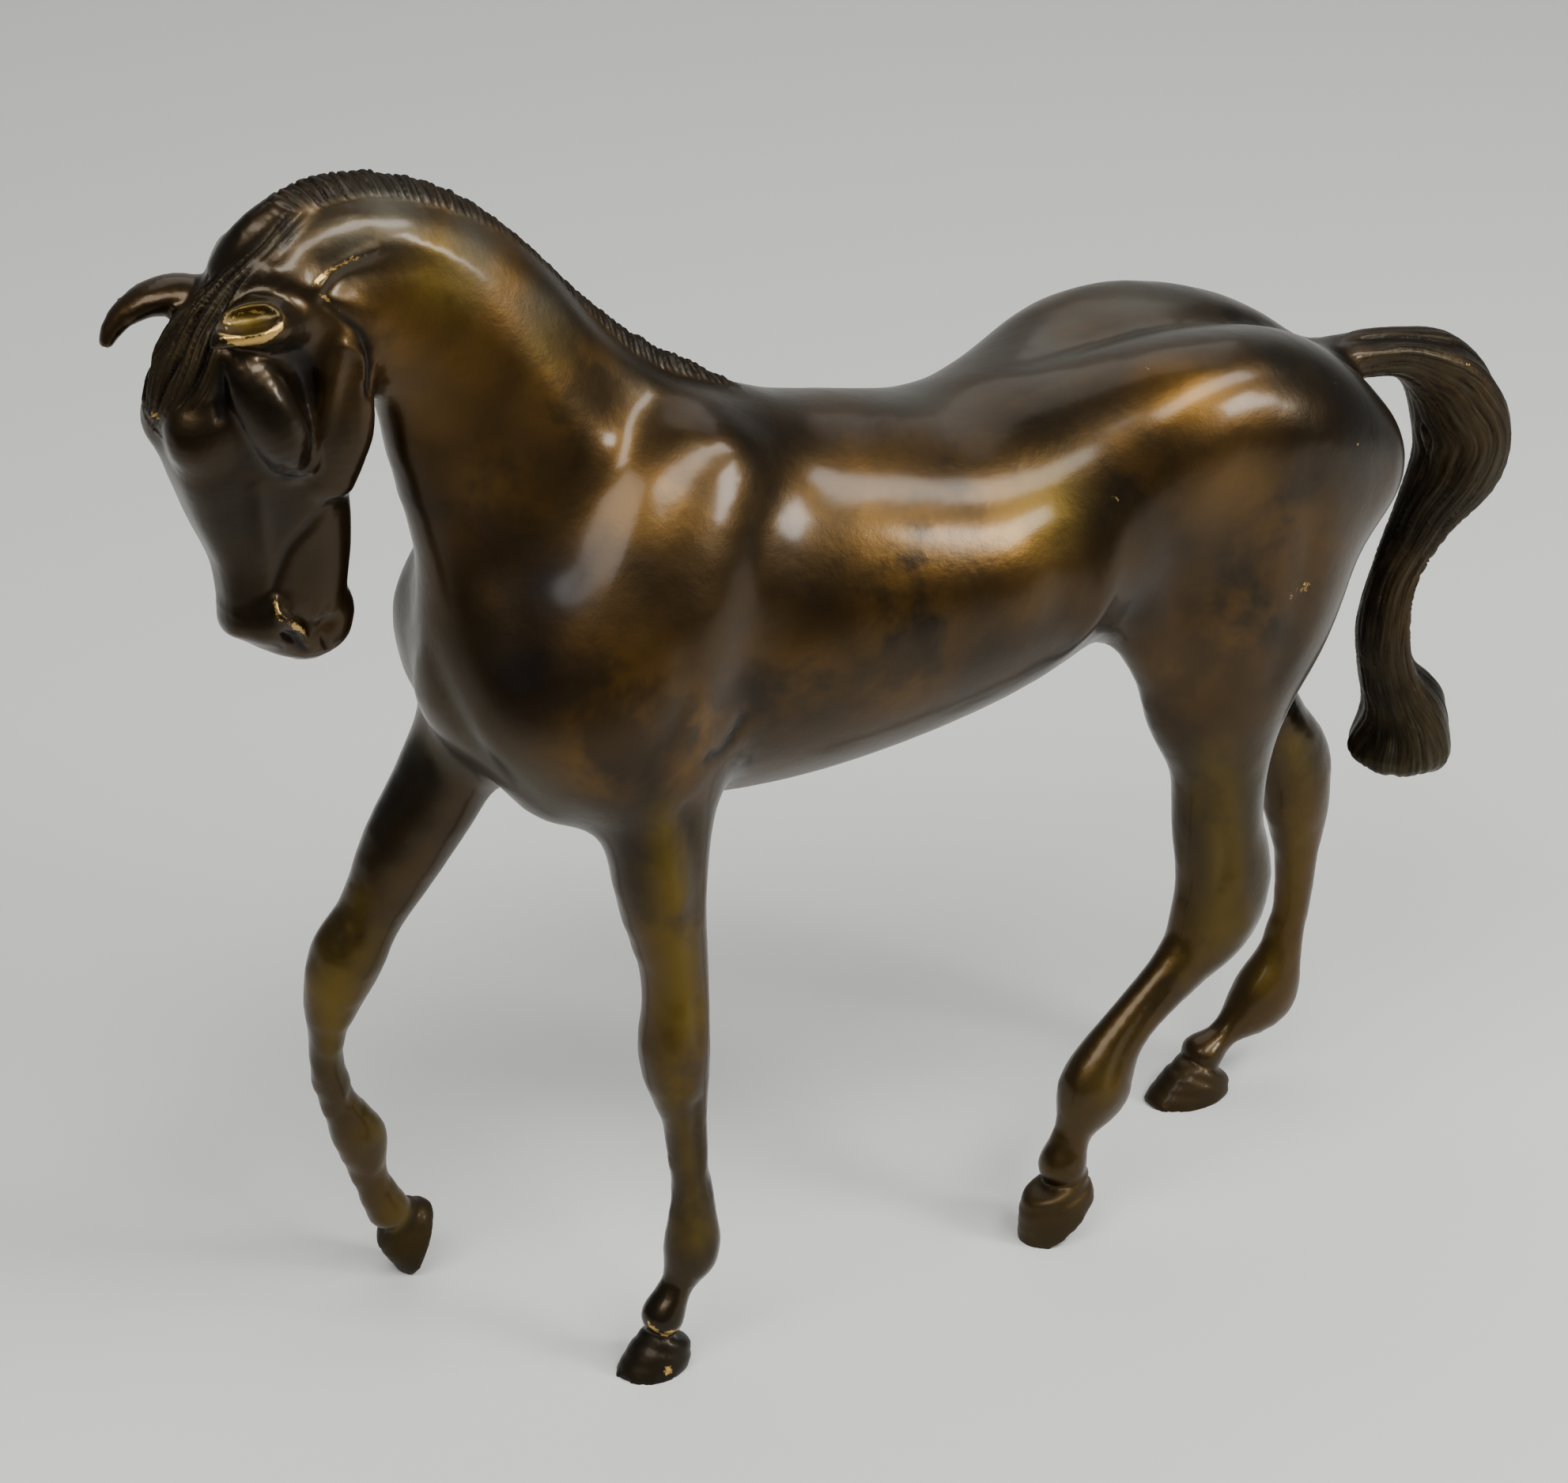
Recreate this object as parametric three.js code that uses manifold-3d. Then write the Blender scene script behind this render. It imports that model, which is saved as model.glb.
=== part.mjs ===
// Walking horse, a small cast bronze, in millimetres with +Z up.
// The horse faces -X and its left side faces -Y. The form is a set of clay masses that melt into
// one another; their common skin is traced, thinned to flat faces and cut level under the hooves.
import * as THREE from "three";
import Module from "manifold-3d";

// Driving dimensions
const FLOOR_Z = 2;          // height at which the soles are cut level, in the modelling frame
const CELL = 2.3;           // pitch of the tracing grid
const FACE_BUDGET = 9400;   // flat faces kept in the finished skin
const ROW_STEPS = 5;        // smooth steps between two sections of a mass
const MARGIN = 9;           // reach of a mass beyond its own skin
const FAR = 1e9;            // a size with no limit
const GROUND = [600, 400, 60];  // block that cuts the soles level

// Every row of a mass is [x, y, z, half width sideways, reach in front, reach behind].
// A mass that runs down has its front toward -X. One that runs toward the head has it upward.
const TRUNK = [
  [116, 0, 180, 15, 14, 20],
  [98, 0, 179, 27, 27, 30],
  [76, 0, 178, 32, 33.5, 25],
  [50, 0, 175, 34, 34.5, 28.5],
  [18, 0, 170, 37.5, 35.5, 34.8],
  [-16, 0, 170, 36.5, 41, 41.5],
  [-46, 0, 171, 31, 45, 42.5],
  [-70, 0, 168, 26, 32, 36],
  [-86, 0, 162, 15, 18, 22],
];
const NECK = [
  [-48, 0, 177, 25, 27, 36],
  [-63, 0, 196, 21.5, 22.5, 36.5],
  [-77, 0, 218, 17, 19, 30],
  [-91, 0, 238, 14.2, 19.5, 21],
  [-110, 0, 250, 12.2, 17.5, 16],
  [-126, 0, 251, 11.2, 15, 13],
];
const HEAD = [
  [-123, 0, 251, 10.5, 15, 11],
  [-129, 0, 241, 12, 19.4, 15],
  [-133, 0, 229, 12.2, 20.4, 16.6],
  [-132.5, 0, 216, 10, 17.6, 15.8],
  [-130.5, 0, 203, 8, 14.4, 14.4],
  [-129.4, 0, 193.6, 7.2, 14, 12.4],
  [-129, 0, 188, 6.8, 13.8, 10.6],
];
const NEAR_FORE = [
  [-60, -17, 162, 13, 20, 20],
  [-60, -20, 144, 12, 14, 16],
  [-60, -22, 130, 10.5, 10.5, 12.5],
  [-59, -22.5, 116, 8.8, 9, 10],
  [-56.5, -22.5, 100, 7.2, 6.9, 8],
  [-55.7, -22.5, 90, 6.9, 6.9, 7.4],
  [-56, -22.5, 80, 7.6, 7.9, 7.6],
  [-55.5, -22.5, 71, 6.6, 6.4, 6.9],
  [-54, -22.5, 62, 4.8, 4.7, 5.2],
  [-52.6, -22.5, 47, 4.2, 4.2, 4.7],
  [-52.2, -22.5, 37, 4.6, 5.2, 5.8],
  [-52.8, -22.5, 29, 5.6, 6, 6.9],
  [-56.2, -22.6, 21.5, 3.8, 3.2, 3.8],
  [-60, -22.8, 14.5, 5, 4.4, 5],
];
const FAR_FORE = [
  [-75, 18, 186, 9, 13, 14],
  [-81, 20.5, 171, 11.5, 15.2, 16],
  [-80, 21, 152, 11.5, 9.6, 15],
  [-86, 22, 133, 10.2, 10.6, 10.5],
  [-94.5, 24.5, 116, 8.6, 10.6, 8.6],
  [-103, 27, 101, 7.2, 7.2, 7.2],
  [-108, 28.5, 91, 7.6, 8.6, 7.8],
  [-111, 30.5, 81, 6.4, 6.4, 6],
  [-112.4, 32, 71, 4.6, 4, 3.6],
  [-111.4, 34, 61, 4, 4.2, 4],
  [-108, 35.3, 51, 4.2, 4.8, 4],
  [-104, 36.3, 42, 5.4, 6, 6],
  [-100.8, 37.6, 31, 3.8, 5, 3.2],
  [-96.8, 38.8, 20, 5, 5, 5],
];
const NEAR_HIND = [
  [90, -15, 188, 19, 24, 22],
  [89, -17.5, 170, 18.5, 31, 28],
  [86.5, -19, 150, 16.5, 36.4, 24],
  [83.5, -19.5, 132, 13, 23, 17],
  [83.5, -19, 115, 10, 12.6, 11.8],
  [84.5, -18.5, 98, 8.8, 11.5, 10],
  [87, -18.5, 84, 8.2, 12.8, 10.8],
  [84.5, -18.5, 73, 7.6, 12, 9.6],
  [76, -18.5, 63, 5.8, 8, 5.4],
  [64, -18.3, 53, 5, 6.4, 4.8],
  [57, -18, 45, 5.8, 7.2, 7],
  [52.8, -18, 37.5, 6.8, 8.2, 9.2],
  [48.6, -17.6, 28, 4.4, 4.6, 4.2],
  [46, -17.3, 19.5, 5.6, 5.6, 5.6],
];
const FAR_HIND = [
  [92, 15, 188, 19, 24, 22],
  [96, 17.5, 170, 18, 26, 27],
  [101, 18, 150, 15, 22, 20],
  [109, 19, 132, 11.5, 14, 12.5],
  [117.5, 20, 115, 8.6, 10, 8.4],
  [125.5, 20.5, 100, 7.4, 8.4, 7.6],
  [132, 21, 87, 7.2, 8.6, 9.8],
  [133.5, 21, 75, 6.8, 7.6, 9.2],
  [133.8, 21, 63, 5.2, 4.4, 7.2],
  [133.8, 21, 49, 4.4, 3.4, 5.6],
  [132, 21.3, 35, 4.9, 5.6, 5.2],
  [127.2, 21.5, 24.5, 6.8, 7.4, 9],
  [117, 21.8, 17, 3.6, 2.8, 4.4],
  [110.5, 22, 12.5, 5.4, 4.4, 5.8],
];
const TAIL = [
  [116, 0, 195, 7, 5.4, 5.4],
  [129, 0, 195.5, 6.5, 5.4, 5],
  [141, 0, 194, 7.6, 5.8, 5.2],
  [151.5, 0, 189, 9.8, 9, 7.4],
  [158.6, 0, 178, 11.8, 11, 9.4],
  [158.8, 0, 165, 12, 9.2, 8.8],
  [150.4, 0, 152, 8, 6.6, 4.2],
  [144, 0, 140, 5.8, 6, 3.6],
  [140.8, 0, 127, 6.8, 5.8, 5.6],
  [142.5, 0, 114.5, 8, 5.4, 7.4],
  [146.2, 0, 104, 11, 6.2, 12.4],
  [146.8, 0, 94.6, 12.4, 11, 12.6],
];
const MANE = [
  [-28, 0, 212, 2, 3.6, 6],
  [-36, 0, 217.2, 2.4, 4, 6],
  [-52, 0, 226.2, 2.8, 4.6, 6],
  [-67, 0, 238.4, 3.2, 5, 6],
  [-83, 0, 254.6, 3.4, 5.4, 6],
  [-99, 0, 265.6, 3.8, 5.4, 6],
  [-117, 0, 269.2, 4.2, 5.4, 6],
  [-131, 0, 265, 4.4, 4.8, 6],
  [-138, 0, 258.5, 4.4, 3.4, 5],
];
const CREST = [
  [-30, 0, 208, 8, 4, 12],
  [-50, 0, 219, 8.5, 5, 14],
  [-66, 0, 232, 9, 5.2, 15],
  [-82, 0, 247.5, 9, 6, 14],
  [-98, 0, 259, 9, 6.2, 12],
  [-116, 0, 264, 9, 6.4, 10],
  [-131, 0, 259, 8.5, 5.6, 8],
];
const LIPS = [
  [-138.6, 0, 187.4, 5.4, 4.4, 4.8],
  [-132.4, 0, 184.4, 6.4, 5.6, 5.6],
  [-126, 0, 181.6, 6, 5.8, 5.4],
  [-121.6, 0, 181.6, 4.8, 4.8, 4.4],
];
const FORELOCK = [
  [-123, -2.6, 268.6, 3, 2.8, 4],
  [-129, -4.8, 264.6, 2.8, 2.8, 4],
  [-134, -6, 260.6, 2.8, 2.8, 4],
  [-138.8, -5, 256.6, 3.4, 2.8, 4],
  [-143, -3.6, 252, 5.6, 2.8, 4],
  [-146.6, -2.6, 246.2, 7.8, 2.9, 4.5],
  [-149.4, -2.2, 240.6, 8.2, 3, 4.5],
  [-151.4, -1.2, 235.8, 7, 2.8, 4.5],
  [-152.9, 0.6, 232, 5.4, 1.4, 3],
];
const EYE = [
  [-141, 9, 244, 5, 4.8, 4.8],
  [-137.5, 10.6, 237.4, 7, 6.6, 6.2],
  [-133.6, 11.2, 229.4, 6.8, 6.6, 5.8],
  [-130.8, 10, 222.6, 4.2, 4.2, 3.8],
];
const FAR_EAR = [
  [-136, 9, 247.5, 5, 4.6, 4.6],
  [-143, 11.5, 251.5, 5.4, 3.8, 4.4],
  [-150, 13, 251, 4.8, 3, 3.4],
  [-155.5, 14, 247.5, 3, 2.4, 2.4],
  [-158.2, 14.3, 243.5, 1.9, 1.5, 1.6],
];
const NEAR_EAR = [
  [-129, -8, 249, 5, 5, 5],
  [-136, -12.5, 251.5, 6, 4.8, 4.6],
  [-142.5, -15.5, 252.3, 4.8, 3.8, 3.4],
  [-148, -18, 251.5, 1.8, 1.6, 1.4],
];
const CHEEK = [
  [-119.4, 7.6, 243, 4.6, 7.6, 5.4],
  [-119.4, 8.4, 234, 5.4, 8, 6],
  [-119.6, 8.4, 226, 5.4, 7.2, 6],
  [-121.6, 7.4, 217, 4.4, 6.4, 4.6],
];
const FOREARM_POINT = [
  [-66, -19, 176, 11, 16, 14],
  [-72, -21, 162, 11, 14, 14],
  [-62, -21.5, 148, 11, 13, 13],
];
const CHEST_MUSCLE = [
  [-78, 12, 178, 11, 14, 14],
  [-83, 13, 161, 13, 12.5, 14],
  [-75, 12, 145, 11, 11, 12],
];
const SHOULDER = [
  [-44, 17, 206, 8, 11, 11],
  [-55, 22, 189, 11, 15, 15],
  [-68, 24.5, 169, 12.5, 17, 16],
  [-66, 23, 152, 11.5, 16, 16],
];
const HIP = [
  [50, 16, 188, 13, 15, 15],
  [64, 20.5, 194.5, 15, 18, 17.5],
  [82, 20.5, 195, 15, 18, 18],
  [99, 18, 187, 16, 18, 17.5],
  [113, 16.5, 178, 14, 14, 14.5],
];

// Local swellings and hollows: [x, y, z, reach x, reach y, reach z, height], mirrored where y > 0.
const SWELL = [
  [62, 0, 142, 16, 40, 14, -3],
];

const add3 = (a, b, t) => [a[0] + b[0] * t, a[1] + b[1] * t, a[2] + b[2] * t];
const dot3 = (a, b) => a[0] * b[0] + a[1] * b[1] + a[2] * b[2];
const cross3 = (a, b) => [a[1] * b[2] - a[2] * b[1], a[2] * b[0] - a[0] * b[2], a[0] * b[1] - a[1] * b[0]];
const unit3 = (a) => {
  const n = Math.hypot(a[0], a[1], a[2]);
  return [a[0] / n, a[1] / n, a[2] / n];
};

// Two skins melt into one over the width k.
function melt(a, b, k) {
  const h = Math.max(k - Math.abs(a - b), 0) / k;
  return Math.min(a, b) - h * h * k * 0.25;
}
const meet = (a, b, k) => -melt(-a, -b, k);

// A smooth curve through the rows, with every column interpolated alike.
function smoothRows(rows, steps) {
  const out = [];
  for (let i = 0; i < rows.length - 1; i++) {
    const a = rows[Math.max(i - 1, 0)];
    const b = rows[i];
    const c = rows[i + 1];
    const d = rows[Math.min(i + 2, rows.length - 1)];
    for (let s = 0; s < steps; s++) {
      const t = s / steps;
      out.push(b.map((_, j) => 0.5 * (2 * b[j] + (c[j] - a[j]) * t
        + (2 * a[j] - 5 * b[j] + 4 * c[j] - d[j]) * t * t
        + (3 * b[j] - a[j] - 3 * c[j] + d[j]) * t * t * t)));
    }
  }
  out.push(rows[rows.length - 1].slice());
  return out;
}

// First-order distance to an oval with half axes ru, rv, rw. A power above 2 squares its shoulders.
function egg(u, v, w, ru, rv, rw, square) {
  const a = Math.abs(u) / ru;
  const b = Math.abs(v) / rv;
  const c = Math.abs(w) / rw;
  if (square === 2) {
    const q = Math.sqrt(a * a + b * b + c * c);
    if (q < 1e-4) return -Math.min(ru, rv, rw);
    return (q - 1) * q / Math.sqrt((a / ru) ** 2 + (b / rv) ** 2 + (c / rw) ** 2);
  }
  const q = (a ** square + b ** square + c ** square) ** (1 / square);
  if (q < 1e-4) return -Math.min(ru, rv, rw);
  const p = square - 1;
  return (q - 1) / Math.hypot((a / q) ** p / ru, (b / q) ** p / rv, (c / q) ** p / rw);
}

function grow(box, p, r) {
  for (let j = 0; j < 3; j++) {
    box.lo[j] = Math.min(box.lo[j], p[j] - r);
    box.hi[j] = Math.max(box.hi[j], p[j] + r);
  }
}

// A mass swept along its rows with an uneven oval section.
function sweep(rows, mirrored = false, cap = FAR, across = [0, 1, 0], square = 2) {
  const pts = smoothRows(rows, ROW_STEPS);
  const box = { lo: [FAR, FAR, FAR], hi: [-FAR, -FAR, -FAR] };
  const parts = [];
  for (let i = 0; i < pts.length - 1; i++) {
    const a = pts[i];
    const b = pts[i + 1];
    const run = [b[0] - a[0], b[1] - a[1], b[2] - a[2]];
    const t = unit3(run);
    const s = unit3(add3(across, t, -dot3(across, t)));
    parts.push({ a, b, run, len2: dot3(run, run), t, s, n: cross3(s, t) });
  }
  pts.forEach((p) => grow(box, p, Math.max(p[3], p[4], p[5]) + MARGIN));
  const reach = (x, y, z) => {
    let best = FAR;
    for (const g of parts) {
      const dx = x - g.a[0];
      const dy = y - g.a[1];
      const dz = z - g.a[2];
      const t = Math.min(Math.max((dx * g.run[0] + dy * g.run[1] + dz * g.run[2]) / g.len2, 0), 1);
      const ex = dx - g.run[0] * t;
      const ey = dy - g.run[1] * t;
      const ez = dz - g.run[2] * t;
      const u = ex * g.s[0] + ey * g.s[1] + ez * g.s[2];
      const v = ex * g.n[0] + ey * g.n[1] + ez * g.n[2];
      const w = ex * g.t[0] + ey * g.t[1] + ez * g.t[2];
      const ru = g.a[3] + (g.b[3] - g.a[3]) * t;
      const k = v > 0 ? 4 : 5;
      const rv = g.a[k] + (g.b[k] - g.a[k]) * t;
      const rw = Math.min(ru, rv, cap);
      const f = egg(u, v, w, ru, rv, rw, square);
      if (f < best) best = f;
    }
    return best;
  };
  if (!mirrored) return { box, reach };
  box.lo[1] = -box.hi[1];
  return { box, reach: (x, y, z) => reach(x, Math.abs(y), z) };
}

// An egg-shaped lump.
function ball(centre, reachOut, mirrored) {
  const r = Math.max(...reachOut);
  const box = { lo: [FAR, FAR, FAR], hi: [-FAR, -FAR, -FAR] };
  grow(box, centre, r + MARGIN);
  if (mirrored) box.lo[1] = -box.hi[1];
  const reach = (x, y, z) => egg(x - centre[0], (mirrored ? Math.abs(y) : y) - centre[1], z - centre[2],
    reachOut[0], reachOut[1], reachOut[2], 2);
  return { box, reach };
}

// A hoof: a leaning oval cone between its sole and the coronet.
function hoof(centre, toward, up, length, width, height) {
  const u = unit3(up);
  const f = unit3(add3(toward, u, -dot3(toward, u)));
  const s = cross3(u, f);
  const box = { lo: [FAR, FAR, FAR], hi: [-FAR, -FAR, -FAR] };
  grow(box, centre, length + height + MARGIN);
  const reach = (x, y, z) => {
    const d = [x - centre[0], y - centre[1], z - centre[2]];
    const h = dot3(d, u);
    const shrink = 1 - 0.022 * Math.max(h, -2);
    const a = (dot3(d, f) + 0.5 * h) / (length * shrink);
    const b = dot3(d, s) / (width * shrink);
    const q = Math.hypot(a, b);
    const side = (q - 1) * width * shrink * 0.9;
    const crown = (h - height - 0.35 * dot3(d, f)) * 0.94;
    return meet(meet(side, crown, 2.5), -h, 1.2);
  };
  return { box, reach };
}

const clay = [];
const put = (mass, k) => clay.push({ ...mass, k, join: melt });
const dig = (mass, k) => clay.push({ ...mass, k, join: (f, g, w) => meet(f, -g, w) });
put(sweep(TRUNK), 10);
put(sweep(NECK), 14);
put(sweep(CREST), 9);
put(sweep(HIP, true), 14);
put(sweep(SHOULDER, true), 14);
put(sweep(CHEST_MUSCLE, true), 9);
put(sweep(HEAD, false, 2.6, [0, 1, 0], 3.4), 7);
put(sweep(NEAR_FORE), 8);
put(sweep(FAR_FORE), 8);
put(sweep(NEAR_HIND), 8);
put(sweep(FAR_HIND), 8);
put(sweep(TAIL, false, 4.5), 3);
put(sweep(CHEEK, true, FAR, [0, 1, 0], 2.6), 3);
put(sweep(EYE, true), 2.5);
put(sweep(MANE), 1.6);
put(sweep(FORELOCK, false, 3, [-0.4, 1, 0]), 1.6);
put(sweep(FAR_EAR), 2.5);
put(sweep(NEAR_EAR), 2.5);
put(sweep(FOREARM_POINT), 6);
put(ball([-148.2, 6.4, 229.5], [6, 5, 6.4], true), 4);
put(ball([-134.5, 5.2, 188], [5, 3.2, 5], true), 2.5);
put(sweep(LIPS), 3);
put(ball([-119.6, 0, 185.5], [4, 4.6, 5], false), 3);
dig(ball([-141.5, -17, 254.5], [6.6, 3.6, 2.6], false), 1);
dig(ball([-150, 16, 249], [6, 3, 2.2], false), 1);
put(hoof([-63, -22.8, 1.2], [-1, -0.08, 0], [0, 0, 1], 8.6, 7, 9.3), 1.6);
put(hoof([-89, 40.2, 8.6], [-0.35, 0.1, -0.93], [-0.93, 0.1, 0.35], 9.8, 6.8, 9.5), 1.6);
put(hoof([44.8, -17.4, 5.4], [-0.8, 0, -0.6], [-0.6, 0, 0.8], 11.6, 7.9, 10), 1.6);
put(hoof([105.4, 21.4, 0.8], [-1, 0, 0.1], [0.1, 0, 1], 11.2, 7.8, 10), 1.6);

function field(x, y, z) {
  let f = 1e3;
  for (const m of clay) {
    const b = m.box;
    if (x < b.lo[0] || x > b.hi[0] || y < b.lo[1] || y > b.hi[1] || z < b.lo[2] || z > b.hi[2]) continue;
    f = m.join(f, m.reach(x, y, z), m.k);
  }
  if (f > 40) return f;
  for (const s of SWELL) {
    const dy = (s[1] > 0 ? Math.abs(y) : y) - s[1];
    const e = ((x - s[0]) / s[3]) ** 2 + (dy / s[4]) ** 2 + ((z - s[2]) / s[5]) ** 2;
    if (e < 9) f -= s[6] * Math.exp(-e);
  }
  return f;
}

// The skin f = 0 traced over a grid: one point in every cell it passes, faces across grid edges.
function traceSkin(cell) {
  const lo = [FAR, FAR, FAR];
  const hi = [-FAR, -FAR, -FAR];
  for (const m of clay) {
    for (let j = 0; j < 3; j++) {
      lo[j] = Math.min(lo[j], m.box.lo[j]);
      hi[j] = Math.max(hi[j], m.box.hi[j]);
    }
  }
  const n = lo.map((v, j) => Math.ceil((hi[j] - v) / cell) + 1);
  const val = new Float32Array(n[0] * n[1] * n[2]);
  const at = (i, j, k) => i + n[0] * (j + n[1] * k);
  for (let k = 0; k < n[2]; k++) {
    for (let j = 0; j < n[1]; j++) {
      for (let i = 0; i < n[0]; i++) {
        val[at(i, j, k)] = field(lo[0] + i * cell, lo[1] + j * cell, lo[2] + k * cell);
      }
    }
  }
  const cellPoint = new Int32Array(val.length).fill(-1);
  const points = [];
  const corner = [0, 1, 2, 3, 4, 5, 6, 7].map((c) => [c & 1, (c >> 1) & 1, c >> 2]);
  const edges = [];
  for (let a = 0; a < 8; a++) for (const bit of [1, 2, 4]) if (!(a & bit)) edges.push([a, a | bit]);

  // A cell is plain when its inner corners hang together and its outer corners do too.
  const hangs = (mask) => {
    if (!mask) return true;
    let reached = mask & -mask;
    for (let r = 0; r < 8; r++) {
      for (const [a, b] of edges) {
        const pair = (1 << a) | (1 << b);
        if ((mask & pair) === pair && (reached & pair)) reached |= pair;
      }
    }
    return reached === mask;
  };
  const plain = Array.from({ length: 256 }, (_, mask) => hangs(mask) && hangs(255 - mask));
  let mended = 1;
  for (let round = 0; round < 30 && mended; round++) {
    mended = 0;
    for (let k = 0; k < n[2] - 1; k++) {
      for (let j = 0; j < n[1] - 1; j++) {
        for (let i = 0; i < n[0] - 1; i++) {
          let mask = 0;
          for (let c = 0; c < 8; c++) {
            if (val[at(i + corner[c][0], j + corner[c][1], k + corner[c][2])] < 0) mask |= 1 << c;
          }
          if (plain[mask]) continue;
          let pick = -1;
          for (const c of corner) {
            const v = at(i + c[0], j + c[1], k + c[2]);
            if (val[v] >= 0 && (pick < 0 || val[v] < val[pick])) pick = v;
          }
          val[pick] = -Math.max(val[pick], 1e-3);
          mended++;
        }
      }
    }
  }

  for (let k = 0; k < n[2] - 1; k++) {
    for (let j = 0; j < n[1] - 1; j++) {
      for (let i = 0; i < n[0] - 1; i++) {
        const v = corner.map((c) => val[at(i + c[0], j + c[1], k + c[2])]);
        const inside = v.filter((q) => q < 0).length;
        if (inside === 0 || inside === 8) continue;
        const sum = [0, 0, 0];
        let count = 0;
        for (const [a, b] of edges) {
          if ((v[a] < 0) === (v[b] < 0)) continue;
          const t = v[a] / (v[a] - v[b]);
          for (let c = 0; c < 3; c++) sum[c] += corner[a][c] + (corner[b][c] - corner[a][c]) * t;
          count++;
        }
        cellPoint[at(i, j, k)] = points.length;
        points.push([lo[0] + (i + sum[0] / count) * cell, lo[1] + (j + sum[1] / count) * cell,
          lo[2] + (k + sum[2] / count) * cell]);
      }
    }
  }
  const faces = [];
  const step = [1, n[0], n[0] * n[1]];
  for (let k = 1; k < n[2] - 1; k++) {
    for (let j = 1; j < n[1] - 1; j++) {
      for (let i = 1; i < n[0] - 1; i++) {
        const here = at(i, j, k);
        for (let c = 0; c < 3; c++) {
          const a = val[here] < 0;
          const b = val[here + step[c]] < 0;
          if (a === b) continue;
          const p = step[(c + 1) % 3];
          const q = step[(c + 2) % 3];
          const r = [cellPoint[here], cellPoint[here - p], cellPoint[here - p - q], cellPoint[here - q]];
          if (!a) r.reverse();
          faces.push([r[0], r[1], r[2]], [r[0], r[2], r[3]]);
        }
      }
    }
  }
  return { points, faces };
}

// Pull every point onto the skin along the slope of the field.
function settle(points, rounds) {
  const e = 0.05;
  for (let r = 0; r < rounds; r++) {
    for (const p of points) {
      const f = field(p[0], p[1], p[2]);
      const g = [0, 1, 2].map((j) => {
        const q = p.slice();
        q[j] += e;
        return (field(q[0], q[1], q[2]) - f) / e;
      });
      const g2 = Math.max(dot3(g, g), 0.2);
      const move = Math.max(-1.2, Math.min(1.2, f)) / g2;
      for (let j = 0; j < 3; j++) p[j] -= g[j] * move * 0.9;
    }
  }
}

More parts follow.
